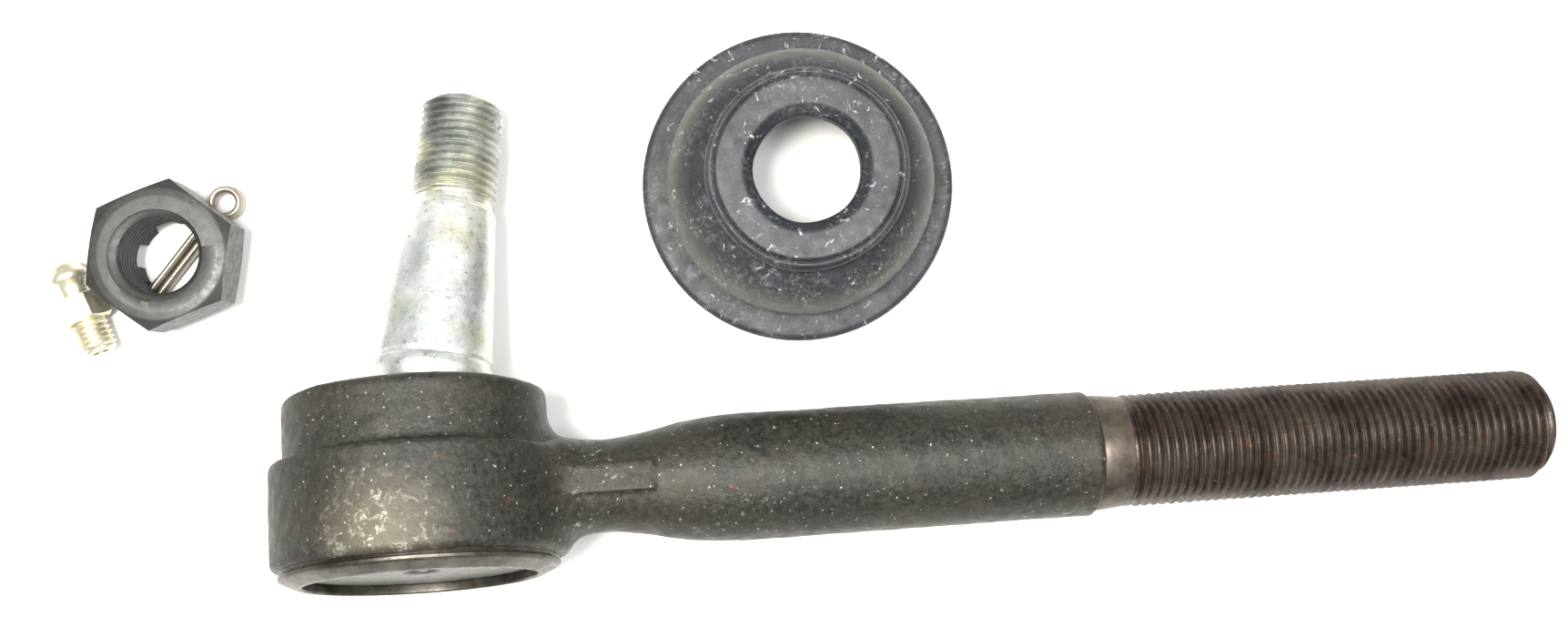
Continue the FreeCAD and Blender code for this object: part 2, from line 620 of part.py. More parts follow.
def liner_in_rod():
    """The first swing, in the plane of the shank, carries the liner."""
    return FreeCAD.Rotation(vector(0, 1, 0), size("Dims.swing_to_shank"))


def stud_in_rod():
    """The second swing, across the shank, carries the half ball and the stud."""
    return liner_in_rod() * FreeCAD.Rotation(vector(1, 0, 0), -size("Dims.swing_to_table"))


def lowest(shape):
    return shape.optimalBoundingBox().ZMin


def heading(degrees):
    return FreeCAD.Rotation(vector(0, 0, 1), degrees)


def place_rod_end(pieces):
    lie = rod_to_row()
    rotations = {
        "seat_liner": liner_in_rod(),
        "half_ball_bearing": stud_in_rod(),
        "ball_stud": stud_in_rod(),
    }
    for name in ("forged_housing", "seat_liner", "half_ball_bearing", "ball_stud",
                 "lower_bearing", "preload_spring", "cover_plate"):
        turn_in_rod = FreeCAD.Placement(vector(), rotations.get(name, FreeCAD.Rotation()))
        pieces[name].Placement = lie * turn_in_rod


def lay_down(piece, x, y, rotation, table):
    """Turn a loose piece, then set it down on the table at x, y."""
    piece.Placement = FreeCAD.Placement(vector(), rotation)
    doc.recompute()
    piece.Placement = FreeCAD.Placement(vector(x, y, table - lowest(piece.Shape)), rotation)


def place_loose(pieces, table):
    """The nut stands on its tower, over the cotter pin that lies in its slots."""
    lay_down(pieces["dust_boot"], size("Dims.boot_x"), size("Dims.boot_y"),
             FreeCAD.Rotation(), table)
    tower_down = FreeCAD.Rotation(vector(1, 0, 0), 180)
    lay_down(pieces["castle_nut"], size("Dims.nut_x"), size("Dims.nut_y"),
             heading(size("Dims.nut_turn")) * tower_down, table)
    lay_down(pieces["cotter_pin"], size("Dims.pin_x"), size("Dims.pin_y"),
             heading(size("Dims.pin_heading")), table)
    place_fitting(pieces, table)


def place_fitting(pieces, table):
    """The fitting lies on one flat of its hexagon, its ball and spring inside."""
    along = heading(size("Dims.fitting_heading"))
    flat_down = FreeCAD.Rotation(vector(0, 0, 1), 30)
    lie = along * FreeCAD.Rotation(vector(0, 1, 0), 90) * flat_down
    lay_down(pieces["grease_fitting"], size("Dims.fitting_x"), size("Dims.fitting_y"), lie, table)
    base = pieces["grease_fitting"].Placement.Base
    ball_at = size("Dims.fitting_bore_end - Dims.check_ball_dia / 2")
    spring_at = ball_at - size("Dims.check_spring_drop + Dims.check_spring_long")
    for name, distance in (("grease_check_ball", ball_at), ("grease_check_spring", spring_at)):
        pieces[name].Placement = FreeCAD.Placement(base + lie.multVec(vector(0, 0, distance)), lie)


# ------------------------------------------------------------------- the model
BUILDERS = {
    "forged_housing": make_housing,
    "seat_liner": make_liner,
    "half_ball_bearing": make_half_ball,
    "ball_stud": make_stud,
    "lower_bearing": make_lower_bearing,
    "preload_spring": make_disc_spring,
    "cover_plate": make_cover,
    "dust_boot": make_boot,
    "castle_nut": make_nut,
    "cotter_pin": make_cotter_pin,
    "grease_fitting": make_fitting,
    "grease_check_ball": make_check_ball,
    "grease_check_spring": make_check_spring,
}


def check(pieces):
    """Stop if any object failed or any piece is not one valid solid."""
    for item in doc.Objects:
        if "Invalid" in item.State or "Error" in item.State:
            raise RuntimeError(f"{item.Label} did not build: {item.State}")
    for label, piece in pieces.items():
        shape = piece.Shape
        if shape.isNull() or not shape.isValid() or len(shape.Solids) != 1:
            raise RuntimeError(f"{label} is not one valid solid: {len(shape.Solids)}")


def main():
    pieces = {label: build() for label, build in BUILDERS.items()}
    doc.recompute()
    place_rod_end(pieces)
    doc.recompute()
    table = lowest(pieces["forged_housing"].Shape)
    place_loose(pieces, table)
    doc.recompute()
    check(pieces)
    os.makedirs("parts", exist_ok=True)
    for label, piece in pieces.items():
        piece.Shape.exportStep(f"parts/{label}.step")
        box = piece.Shape.optimalBoundingBox()
        print(f"{label:22s} volume {piece.Shape.Volume:9.1f}  x {box.XMin:7.2f} {box.XMax:7.2f}"
              f"  y {box.YMin:7.2f} {box.YMax:7.2f}  z {box.ZMin:7.2f} {box.ZMax:7.2f}")


main()
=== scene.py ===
"""Looks for a forged tie rod end and its loose boot, nut, split pin and grease fitting."""
import json
import math

import bmesh
import bpy
import numpy as np
from mathutils import Matrix, Vector


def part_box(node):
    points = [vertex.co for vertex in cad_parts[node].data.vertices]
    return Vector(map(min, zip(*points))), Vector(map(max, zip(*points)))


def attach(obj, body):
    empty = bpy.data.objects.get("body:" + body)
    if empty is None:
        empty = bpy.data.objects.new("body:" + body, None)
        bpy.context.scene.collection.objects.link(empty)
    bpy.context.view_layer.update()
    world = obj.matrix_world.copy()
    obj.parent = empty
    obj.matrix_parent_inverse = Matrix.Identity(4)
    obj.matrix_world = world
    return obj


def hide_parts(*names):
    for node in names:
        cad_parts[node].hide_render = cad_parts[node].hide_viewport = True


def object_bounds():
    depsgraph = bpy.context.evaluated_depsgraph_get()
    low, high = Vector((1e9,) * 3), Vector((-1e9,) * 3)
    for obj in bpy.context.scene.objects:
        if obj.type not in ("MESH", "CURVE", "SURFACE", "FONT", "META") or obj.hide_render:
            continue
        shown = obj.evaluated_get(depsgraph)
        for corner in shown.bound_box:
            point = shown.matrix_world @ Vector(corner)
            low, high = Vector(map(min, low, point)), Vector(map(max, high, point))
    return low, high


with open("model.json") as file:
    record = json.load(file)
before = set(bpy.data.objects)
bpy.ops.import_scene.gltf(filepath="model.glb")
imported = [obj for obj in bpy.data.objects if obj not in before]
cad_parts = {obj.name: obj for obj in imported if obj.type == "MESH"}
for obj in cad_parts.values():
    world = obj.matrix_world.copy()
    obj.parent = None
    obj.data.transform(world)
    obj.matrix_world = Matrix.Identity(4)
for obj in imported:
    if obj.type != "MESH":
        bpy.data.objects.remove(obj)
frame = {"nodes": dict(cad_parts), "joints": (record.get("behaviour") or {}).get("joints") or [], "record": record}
CAD_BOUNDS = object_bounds()
MM = 0.001
RNG_SEED = 11

# ------------------------------------------------------------------ camera, mm
CAMERA_AT = (42.72, 12.70, 278.89)
CAMERA_AIM = (62.13, 26.00, -23.74)
CAMERA_UP = (0.0577, 0.9972, 0.0475)
LENS_MM = 39.137
SENSOR_MM = 36.0

# ------------------------------------------------- sizes of the rod end, in mm
HEAD = dict(upper=21.15, lower=23.35, top=15.9, step=5.3, base=-11.5, bore=13.2,
            seat_top=6.97, funnel=16.4, funnel_top=12.6, mouth=16.9)
LIP = dict(top=-11.9, edge=-12.9, base=-14.1, outer=21.85, rim=18.4, ledge=-12.5)
COVER = dict(radius=19.1, top=-10.9, face=-12.5, hole=2.7)
SHANK_LEVEL = -0.6
BAR = dict(radius=10.5, end=112.2, chamfer=1.2)
RELIEF = dict(radius=9.3, end=117.6)
SHANK_THREAD = dict(end=193.0, major=9.525, pitch=1.5875, chamfer=1.7)
STUD = dict(ball=11.11, flat=-8.2, shaft=6.8, neck_end=16.0, collar_at=17.6, collar=9.6,
            groove_at=21.85, groove=9.0, taper_at=22.2, taper=9.4, taper_end=48.4,
            taper_small=7.35, relief=6.3, thread_at=50.2, end=68.5, major=7.145,
            pitch=1.4111, chamfer=1.2)
COTTER_HOLE = dict(radius=1.8, at=64.4)
# Half heights and half widths of the neck and bar at stations along the shank
NECK_STATIONS = (
    (15.0, 8.7, 10.0), (24.5, 7.9, 8.7), (31.0, 7.6, 8.3), (36.5, 8.4, 8.9),
    (43.0, 9.75, 9.9), (49.0, 10.35, 10.4), (56.0, 10.5, 10.5),
)
FLASH_LAND = dict(start=19.0, end=37.6, half=2.3, reach=9.35)

# --------------------------------------------------- sizes of loose pieces, mm
NUT = dict(flats=22.2, body=11.2, high=15.9, tower=9.8, slot=4.0, minor=6.5, major=7.3,
           pitch=1.4111, turn=-10.0)
PIN = dict(radius=1.6, eye=3.1, wire=0.75, long=25.4, short=22.4)
FITTING = dict(thread=3.175, thread_end=5.6, hex=7.94, hex_end=10.4, neck=2.3, neck_end=12.2,
               head=3.3, head_start=13.0, head_end=14.6, tip=1.8, long=16.4, mouth=0.8,
               pitch=0.907)
FLOOR_SIDE = 4000.0


# =================================================================== frames
def joint(name):
    return next(j for j in frame["joints"] if j["name"] == name)


def mount(name):
    return next(m for m in frame["record"]["mounts"] if m["name"] == name)


def axes_matrix(x, z, origin=(0, 0, 0)):
    """Matrix from a piece's own millimetres to the row frame, from its X and Z axes."""
    z = Vector(z).normalized()
    x = Vector(x)
    x = (x - z * x.dot(z)).normalized()
    y = z.cross(x)
    columns = Matrix((x, y, z)).transposed().to_4x4()
    return Matrix.Translation(Vector(origin)) @ columns @ Matrix.Scale(MM, 4)


SHANK_AXIS = Vector(mount("shank_thread")["axis"])
HEAD_AXIS = SHANK_AXIS.cross(Vector(joint("swing_along_shank")["axis"]))
ROD = axes_matrix(SHANK_AXIS, HEAD_AXIS)
STUD_FRAME = axes_matrix(mount("stud_cotter_hole")["axis"], mount("stud_thread")["axis"])
FLOOR = CAD_BOUNDS[0][2]


# ============================================================ mesh from arrays
def piece(name, verts, faces, matrix, sharp_deg=32.0, merge=1e-4):
    """Mesh object from vertices in millimetres, merged, closed and turned outwards."""
    mesh = bpy.data.meshes.new(name)
    mesh.from_pydata([tuple(v) for v in verts], [], [tuple(f) for f in faces])
    bm = bmesh.new()
    bm.from_mesh(mesh)
    bmesh.ops.remove_doubles(bm, verts=bm.verts, dist=merge)
    bmesh.ops.dissolve_degenerate(bm, edges=bm.edges, dist=merge)
    bmesh.ops.recalc_face_normals(bm, faces=bm.faces)
    bm.to_mesh(mesh)
    bm.free()
    mesh.transform(matrix)
    for polygon in mesh.polygons:
        polygon.use_smooth = True
    mesh.set_sharp_from_angle(angle=math.radians(sharp_deg))
    obj = bpy.data.objects.new(name, mesh)
    bpy.context.scene.collection.objects.link(obj)
    return obj


def rounded(corners, steps=4):
    """Polyline of (radius, height) with each corner (r, z, rounding) softened."""
    points = []
    count = len(corners)
    for i, corner in enumerate(corners):
        here = np.array(corner[:2], float)
        soft = corner[2] if len(corner) > 2 else 0.0
        if soft <= 0 or i in (0, count - 1):
            points.append(here)
            continue
        before = np.array(corners[i - 1][:2], float) - here
        after = np.array(corners[i + 1][:2], float) - here
        reach = min(soft, 0.49 * np.linalg.norm(before), 0.49 * np.linalg.norm(after))
        start = here + before / np.linalg.norm(before) * reach
        end = here + after / np.linalg.norm(after) * reach
        for k in range(steps + 1):
            t = k / steps
            points.append((1 - t) ** 2 * start + 2 * t * (1 - t) * here + t * t * end)
    return np.array(points)


def lathe(profile, segments=128, wobble=None):
    """Turn a profile of (radius, height) about Z; wobble(angle, height) is added to radius."""
    profile = np.asarray(profile, float)
    angles = np.linspace(0, 2 * math.pi, segments, endpoint=False)
    radius = np.repeat(profile[:, :1], segments, axis=1)
    height = np.repeat(profile[:, 1:2], segments, axis=1)
    turn = np.repeat(angles[None, :], len(profile), axis=0)
    if wobble:
        radius = np.where(radius > 1e-6, radius + wobble(turn, height), radius)
    verts = np.stack([radius * np.cos(turn), radius * np.sin(turn), height], axis=2)
    return verts.reshape(-1, 3), grid_faces(len(profile), segments)


def grid_faces(rows, columns):
    """Quads of a grid of rows that wraps round its columns."""
    faces = []
    for i in range(rows - 1):
        for j in range(columns):
            k = (j + 1) % columns
            faces.append((i * columns + j, i * columns + k,
                          (i + 1) * columns + k, (i + 1) * columns + j))
    return faces


def densify(profile, step):
    """Add points along a profile so that no run is longer than step."""
    out = [profile[0]]
    for a, b in zip(profile[:-1], profile[1:]):
        n = max(1, int(math.ceil(np.linalg.norm(b - a) / step)))
        out.extend(a + (b - a) * k / n for k in range(1, n + 1))
    return np.array(out)


def threaded_rod(start, end, pitch, envelope, depth_at, cap_start, cap_end, segments=96, fine=10):
    """Solid along Z with a helical thread cut into an envelope of radius against height.

    depth_at(height) is the thread's depth there; the caps are further rings (height, radius)."""
    rows = int(math.ceil((end - start) / pitch)) * fine
    index = np.arange(-fine, rows + fine + 1)
    turn = np.arange(segments) / segments
    raw = start + pitch * (index[:, None] / fine + turn[None, :])
    height = np.clip(raw, start, end)
    phase = np.abs((index[:, None] / fine + 0.5) % 1.0 - 0.5) * np.ones_like(raw)
    cut = np.clip((phase - 0.0625) / 0.3125, 0, 1)
    radius = envelope(height) - depth_at(height) * cut
    radius = np.where((raw <= start) | (raw >= end), envelope(height), radius)
    angle = 2 * math.pi * turn[None, :] * np.ones_like(raw)
    verts = np.stack([radius * np.cos(angle), radius * np.sin(angle), height], axis=2)
    verts = list(verts.reshape(-1, 3))
    faces = []
    count = len(index)
    for i in range(count - 1):
        for j in range(segments - 1):
            a = i * segments + j
            faces.append((a, a + 1, a + segments + 1, a + segments))
        if i + 1 + fine < count:
            a = i * segments + segments - 1
            faces.append((a, (i + fine) * segments, (i + 1 + fine) * segments, a + segments))
    for rings, level in ((cap_start, start), (cap_end, end)):
        add_cap(verts, faces, [(level, float(envelope(np.array([level]))[0]))] + rings, segments)
    return np.array(verts), faces


def add_cap(verts, faces, rings, segments):
    """Close an end with rings (height, radius), the last one on the axis."""
    base = len(verts)
    for height, radius in rings:
        for j in range(segments):
            a = 2 * math.pi * j / segments
            verts.append(np.array([radius * math.cos(a), radius * math.sin(a), height]))
    for f in grid_faces(len(rings), segments):
        faces.append(tuple(base + v for v in f))


def apply_boolean(target, cutter, operation="DIFFERENCE"):
    """Cut one mesh object by another and drop the cutter."""
    modifier = target.modifiers.new("cut", "BOOLEAN")
    modifier.object = cutter
    modifier.operation = operation
    modifier.solver = "EXACT"
    evaluated = target.evaluated_get(bpy.context.evaluated_depsgraph_get())
    mesh = bpy.data.meshes.new_from_object(evaluated)
    target.modifiers.clear()
    target.data = mesh
    bpy.data.objects.remove(cutter)
    for polygon in mesh.polygons:
        polygon.use_smooth = True
    mesh.set_sharp_from_angle(angle=math.radians(32))
    return target


# ======================================================= the forging's surface
def polygon_distance(x, y, corners):
    """Signed distance from points to a closed polygon, negative inside."""
    best = np.full(x.shape, 1e9)
    inside = np.zeros(x.shape, bool)
    for (ax, ay), (bx, by) in zip(corners, np.roll(corners, -1, axis=0)):
        ex, ey = bx - ax, by - ay
        t = np.clip(((x - ax) * ex + (y - ay) * ey) / (ex * ex + ey * ey), 0, 1)
        best = np.minimum(best, (x - ax - t * ex) ** 2 + (y - ay - t * ey) ** 2)
        crosses = (ay > y) != (by > y)
        slope = np.where(crosses, (y - ay) * ex / (ey if ey else 1.0) + ax, -1e9)
        inside ^= crosses & (x < slope)
    distance = np.sqrt(best)
    return np.where(inside, -distance, distance)


def hermite(x, stations, column):
    """Smooth curve through one column of the stations, flat at both ends."""
    xs = np.array([s[0] for s in stations])
    ys = np.array([s[column] for s in stations])
    slopes = np.gradient(ys, xs)
    slopes[[0, -1]] = 0.0
    x = np.clip(x, xs[0], xs[-1])
    i = np.clip(np.searchsorted(xs, x) - 1, 0, len(xs) - 2)
    h = xs[i + 1] - xs[i]
    t = (x - xs[i]) / h
    return ((2 * t ** 3 - 3 * t ** 2 + 1) * ys[i] + (t ** 3 - 2 * t ** 2 + t) * h * slopes[i]
            + (3 * t ** 2 - 2 * t ** 3) * ys[i + 1] + (t ** 3 - t ** 2) * h * slopes[i + 1])


def smooth_min(a, b, blend):
    overlap = np.maximum(blend - np.abs(a - b), 0)
    return np.minimum(a, b) - overlap ** 2 / (4 * blend)


def head_corners():
    """Section of the head in (radius, height), with its bore and flared mouth."""
    h = HEAD
    outer = rounded([
        (h["mouth"], h["top"] - 0.6), (h["mouth"] + 0.7, h["top"], 0.5),
        (h["upper"], h["top"], 2.6), (h["upper"], h["step"], 0.9),
        (h["lower"], h["step"], 2.1), (h["lower"], h["base"] + 0.7, 0.9),
        (h["lower"] - 1.3, h["base"] - 0.1, 0.7), (20.4, h["base"] - 0.5),
    ], steps=5)
    inner = np.array([(h["bore"], h["base"] - 0.5), (h["bore"], 0.0)])
    angles = np.linspace(0, math.asin(h["seat_top"] / h["bore"]), 6)[1:]
    seat = np.stack([h["bore"] * np.cos(angles), h["bore"] * np.sin(angles)], axis=1)
    funnel = np.array([(h["funnel"], h["funnel_top"])])
    return np.concatenate([outer, inner, seat, funnel])


HEAD_SECTION = head_corners()


def neck_distance(x, y, z):
    """Waisted neck and round bar along the shank, with the bar's chamfered end."""
    high = hermite(x, NECK_STATIONS, 1)
    wide = hermite(x, NECK_STATIONS, 2)
    trim = np.maximum(x - (BAR["end"] - BAR["chamfer"]), 0)
    high, wide = high - trim, wide - trim
    z = z - SHANK_LEVEL
    q = np.sqrt((z / high) ** 2 + (y / wide) ** 2) + 1e-9
    gradient = np.sqrt((z / high ** 2) ** 2 + (y / wide ** 2) ** 2) / q + 1e-9
    side = (q - 1) / gradient
    return np.maximum(np.maximum(side, 16.0 - x), x - BAR["end"])


def land_distance(x, y, z):
    """Flash left standing along both sides of the neck, a low flat-topped bar."""
    land = FLASH_LAND
    middle = (land["start"] + land["end"]) / 2
    qx = np.abs(x - middle) - (land["end"] - land["start"]) / 2 + 0.3
    qy = np.abs(y) - land["reach"] + 0.3
    qz = np.abs(z - SHANK_LEVEL) - land["half"] + 0.3
    outside = np.sqrt(np.maximum(qx, 0) ** 2 + np.maximum(qy, 0) ** 2 + np.maximum(qz, 0) ** 2)
    return outside + np.minimum(np.maximum(np.maximum(qx, qy), qz), 0) - 0.3


def forging_distance(p):
    """Signed distance to the whole forging, its pieces blended like die fillets."""
    x, y, z = p[..., 0], p[..., 1], p[..., 2]
    head = polygon_distance(np.hypot(x, y), z, HEAD_SECTION)
    neck = smooth_min(neck_distance(x, y, z), land_distance(x, y, z), 0.5)
    return smooth_min(head, neck, 4.5)


def gradient(distance, p, step=0.02):
    """Central-difference gradient of a distance function."""
    parts = []
    for axis in range(3):
        shift = np.zeros(3)
        shift[axis] = step
        parts.append((distance(p + shift) - distance(p - shift)) / (2 * step))
    return np.stack(parts, axis=-1)


def surface_net(distance, low, high, step):
    """Quad mesh of a distance function's zero level on a grid, pulled onto the surface."""
    counts = [int(math.ceil((b - a) / step)) + 1 for a, b in zip(low, high)]
    lines = [low[i] + step * np.arange(counts[i]) for i in range(3)]
    field = np.empty(counts)
    for i, x in enumerate(lines[0]):
        grid = np.stack(np.meshgrid([x], lines[1], lines[2], indexing="ij"), axis=-1)
        field[i] = distance(grid[0])
    inside = field < 0
    corner_sum = np.zeros([c - 1 for c in counts], int)
    for dx in (0, 1):
        for dy in (0, 1):
            for dz in (0, 1):
                corner_sum += inside[dx:counts[0] - 1 + dx, dy:counts[1] - 1 + dy,
                                     dz:counts[2] - 1 + dz]
    active = (corner_sum > 0) & (corner_sum < 8)
    number = -np.ones(active.shape, int)
    number[active] = np.arange(active.sum())
    verts = np.array(low) + (np.argwhere(active) + 0.5) * step
    for _ in range(6):
        g = gradient(distance, verts)
        g /= np.linalg.norm(g, axis=1, keepdims=True) + 1e-9
        verts = verts - np.clip(distance(verts), -step, step)[:, None] * g
    return verts, net_faces(inside, number)


def net_faces(inside, number):
    """One quad round each grid edge that crosses the surface."""
    faces = []
    for axis in range(3):
        u, v = (axis + 1) % 3, (axis + 2) % 3
        ahead = np.roll(inside, -1, axis=axis)
        crossing = inside != ahead
        where = np.argwhere(crossing)
        shape = np.array(inside.shape)
        good = (where[:, axis] < shape[axis] - 1) & (where[:, u] > 0) & (where[:, v] > 0)
        good &= (where[:, u] < shape[u] - 1) & (where[:, v] < shape[v] - 1)
        where = where[good]
        rounds = []
        for du, dv in ((-1, -1), (0, -1), (0, 0), (-1, 0)):
            cell = where.copy()
            cell[:, u] += du
            cell[:, v] += dv
            rounds.append(number[cell[:, 0], cell[:, 1], cell[:, 2]])
        quads = np.stack(rounds, axis=1)
        flip = ~inside[where[:, 0], where[:, 1], where[:, 2]]
        quads[flip] = quads[flip][:, ::-1]
        faces.append(quads[(quads >= 0).all(axis=1)])
    return np.concatenate(faces)


def lumps(p, wavelength, seed, waves=10):
    """Smooth unevenness between about -1 and 1: crossed sine waves of one length."""
    rng = np.random.default_rng(seed)
    total = np.zeros(len(p))
    for _ in range(waves):
        direction = rng.normal(size=3)
        direction /= np.linalg.norm(direction)
        length = wavelength * rng.uniform(0.7, 1.5)
        total += np.sin(p @ direction * 2 * math.pi / length + rng.uniform(0, 2 * math.pi))
    return total / math.sqrt(waves)


def make_forging():
    """Forged head, neck and bar as one skin, with the die's unevenness."""
    verts, faces = surface_net(forging_distance, (-24.5, -24.5, -13.0), (113.2, 24.5, 17.0), 0.5)
    normals = gradient(forging_distance, verts)
    normals /= np.linalg.norm(normals, axis=1, keepdims=True) + 1e-9
    radius = np.hypot(verts[:, 0], verts[:, 1])
    forged = (radius > 17.5) | (verts[:, 0] > 20)
    rough = 0.045 * lumps(verts, 9.0, RNG_SEED) + 0.03 * lumps(verts, 3.4, RNG_SEED + 1)
    rough += 0.012 * lumps(verts, 1.5, RNG_SEED + 2)
    verts = verts + normals * (np.where(forged, rough, 0) - 0.03)[:, None]
    return piece("forged_rod_skin", verts, faces.tolist(), ROD, sharp_deg=40)


def make_lip():
    """Groove, rolled lip turned over the cover and the recess wall behind it."""
    d = LIP
    profile = rounded([
        (20.0, HEAD["base"] + 0.3), (22.2, HEAD["base"] + 0.1, 0.1), (21.7, d["top"], 0.15),
        (22.15, d["top"] - 0.25, 0.12), (d["outer"] + 0.2, d["edge"] + 0.2, 0.1),
        (d["outer"] - 0.15, d["edge"] - 0.05, 0.12), (d["rim"] + 0.85, d["base"] + 0.02, 0.3),
        (d["rim"] + 0.15, d["base"], 0.2), (d["rim"], d["base"] + 0.35, 0.15),
        (d["rim"] + 0.1, d["ledge"] + 0.1, 0.2), (19.3, d["ledge"] + 0.3),
        (19.3, HEAD["base"] + 0.3), (20.0, HEAD["base"] + 0.3),
    ])
    verts, faces = lathe(profile, 160)
    return piece("rolled_lip", verts, faces, ROD, sharp_deg=28)


def make_cover():
    """Pressed cover: raised rim, shallow dish and the threaded grease hole."""
    d = COVER
    face, hole = d["face"], d["hole"]
    profile = rounded([
        (hole, d["top"]), (hole, face + 0.35, 0.1), (hole + 0.5, face + 0.02, 0.25),
        (6.0, face + 0.02, 0.4), (8.0, face + 0.16, 0.8), (15.2, face + 0.2, 0.8),
        (16.6, face + 0.02, 0.6), (17.9, face + 0.02, 0.3), (18.25, face + 0.3, 0.2),
        (d["radius"], face + 0.35, 0.1), (d["radius"], d["top"]), (hole, d["top"]),
    ])
    verts, faces = lathe(profile, 144)
    return piece("cover_plate_skin", verts, faces, ROD, sharp_deg=30)


def shank_frame():
    """The shank's own axis as Z."""
    return axes_matrix(ROD.to_3x3() @ Vector((0, 0, -1)), SHANK_AXIS,
                       ROD @ Vector((0, 0, SHANK_LEVEL)))


def make_relief():
    """Turned relief between the bar's end and the thread."""
    end, small = BAR["end"], RELIEF["radius"]
    profile = rounded([
        (8.5, end - 0.8), (9.6, end - 0.8), (9.75, end + 0.1), (9.72, end + 0.7, 0.2),
        (small + 0.15, end + 3.6, 0.8), (small, RELIEF["end"] - 0.4, 0.2),
        (8.5, RELIEF["end"] - 0.2), (8.5, end - 0.8),
    ])
    verts, faces = lathe(densify(profile, 0.5), 128)
    return piece("shank_relief", verts, faces, shank_frame(), sharp_deg=35)


def make_shank_thread():
    """Rolled thread from the relief to the chamfered end, with worn crests."""
    d = SHANK_THREAD
    begin = RELIEF["end"] - 1.5
    knots = np.array([
        (begin, 9.0), (RELIEF["end"] - 0.5, 9.1), (RELIEF["end"] + 0.5, d["major"]),
        (d["end"] - d["chamfer"], d["major"]),
        (d["end"] - 0.25, d["major"] - d["chamfer"] * 0.85), (d["end"], d["major"] - d["chamfer"]),
    ])

    def envelope(height):
        return np.interp(height, knots[:, 0], knots[:, 1])

    def depth_at(height):
        fade_in = np.clip((height - RELIEF["end"] + 0.3) / 1.2, 0, 1)
        fade_out = np.clip((d["end"] - 0.2 - height) / 0.9, 0, 1)
        return 0.58 * d["pitch"] * fade_in * fade_out

    centre = [(d["end"], 3.0), (d["end"] - 1.6, 0.9), (d["end"] - 1.7, 0.0)]
    verts, faces = threaded_rod(begin, d["end"], d["pitch"], envelope, depth_at,
                                [(begin, 0.0)], centre, segments=112)
    radius = np.hypot(verts[:, 0], verts[:, 1])
    crest = (radius > d["major"] - 0.25) & (verts[:, 2] > RELIEF["end"] + 1)
    wear = 0.02 * lumps(verts[crest], 2.6, RNG_SEED + 5)
    verts[crest, :2] *= (1 + wear / radius[crest])[:, None]
    return piece("threaded_shank", verts, faces, shank_frame(), sharp_deg=50)


# ------------------------------------------------------------------- the stud
def make_stud():
    """Lower half ball, neck, flared collar, groove and taper."""
    d = STUD
    arc = np.linspace(math.asin(d["flat"] / d["ball"]), math.asin(0.5 / d["ball"]), 18)
    ball = [(d["ball"] * math.cos(a), d["ball"] * math.sin(a)) for a in arc]
    upper = rounded([
        (d["ball"], 0.5), (d["shaft"], 0.5), (d["shaft"], d["neck_end"], 0.6),
        (d["collar"] - 0.25, d["collar_at"], 0.5), (d["collar"] + 0.15, d["collar_at"] + 2.6, 0.8),
        (d["collar"] - 0.2, d["groove_at"] - 0.5, 0.3), (d["groove"] + 0.15, d["groove_at"], 0.25),
        (d["taper"] + 0.02, d["taper_at"] + 0.35, 0.3), (d["taper_small"], d["taper_end"], 0.35),
        (d["relief"] + 0.35, d["taper_end"] + 0.7, 0.3),
        (d["relief"] + 0.3, d["thread_at"] + 0.3, 0.2), (d["relief"] - 1.2, d["thread_at"] + 0.8),
        (0.0, d["thread_at"] + 0.8),
    ])
    profile = np.concatenate([[(0.0, d["flat"])], ball, densify(upper, 1.2)])

    def wobble(angle, height):
        return 0.012 * np.sin(height * 5.1) * (height > 19) + 0.01 * np.sin(3 * angle + height)

    verts, faces = lathe(profile, 144, wobble)
    return piece("stud_taper_skin", verts, faces, STUD_FRAME, sharp_deg=35)


def make_stud_thread():
    """Rolled thread of the stud, domed tip and the cotter hole through it."""
    d = STUD
    knots = np.array([
        (d["thread_at"] - 0.1, d["relief"] + 0.2), (d["thread_at"] + 0.9, d["major"]),
        (d["end"] - d["chamfer"] - 0.3, d["major"]), (d["end"] - 0.4, d["major"] - 1.15),
        (d["end"], d["major"] - 1.9),
    ])

    def envelope(height):
        return np.interp(height, knots[:, 0], knots[:, 1])

    def depth_at(height):
        fade_in = np.clip((height - d["thread_at"] - 0.2) / 1.2, 0, 1)
        fade_out = np.clip((d["end"] - 0.3 - height) / 1.0, 0, 1)
        return 0.56 * d["pitch"] * fade_in * fade_out

    start = d["thread_at"] - 0.1
    tip = [(d["end"] + 0.0, 4.2), (d["end"] - 0.1, 3.4), (d["end"] - 0.15, 0.0)]
    verts, faces = threaded_rod(start, d["end"], d["pitch"], envelope, depth_at,
                                [(start, 0.0)], tip, segments=96)
    raw = Matrix.Identity(4)
    thread = piece("stud_thread_skin", verts, faces, raw, sharp_deg=50)
    hole = rounded([(0.0, -12.0), (COTTER_HOLE["radius"] + 3.0, -12.0),
                    (COTTER_HOLE["radius"] + 3.0, -d["major"] - 0.25),
                    (COTTER_HOLE["radius"], -d["major"] + 0.75), (COTTER_HOLE["radius"], 0.0),
                    (COTTER_HOLE["radius"], d["major"] - 0.75),
                    (COTTER_HOLE["radius"] + 3.0, d["major"] + 0.25),
                    (COTTER_HOLE["radius"] + 3.0, 12.0), (0.0, 12.0)])
    verts, faces = lathe(hole, 40)
    across = Matrix.Translation((0, 0, COTTER_HOLE["at"])) @ Matrix.Rotation(math.pi / 2, 4, "Y")
    apply_boolean(thread, piece("cotter_hole_cutter", verts, faces, across))
    thread.data.transform(STUD_FRAME)
    return thread


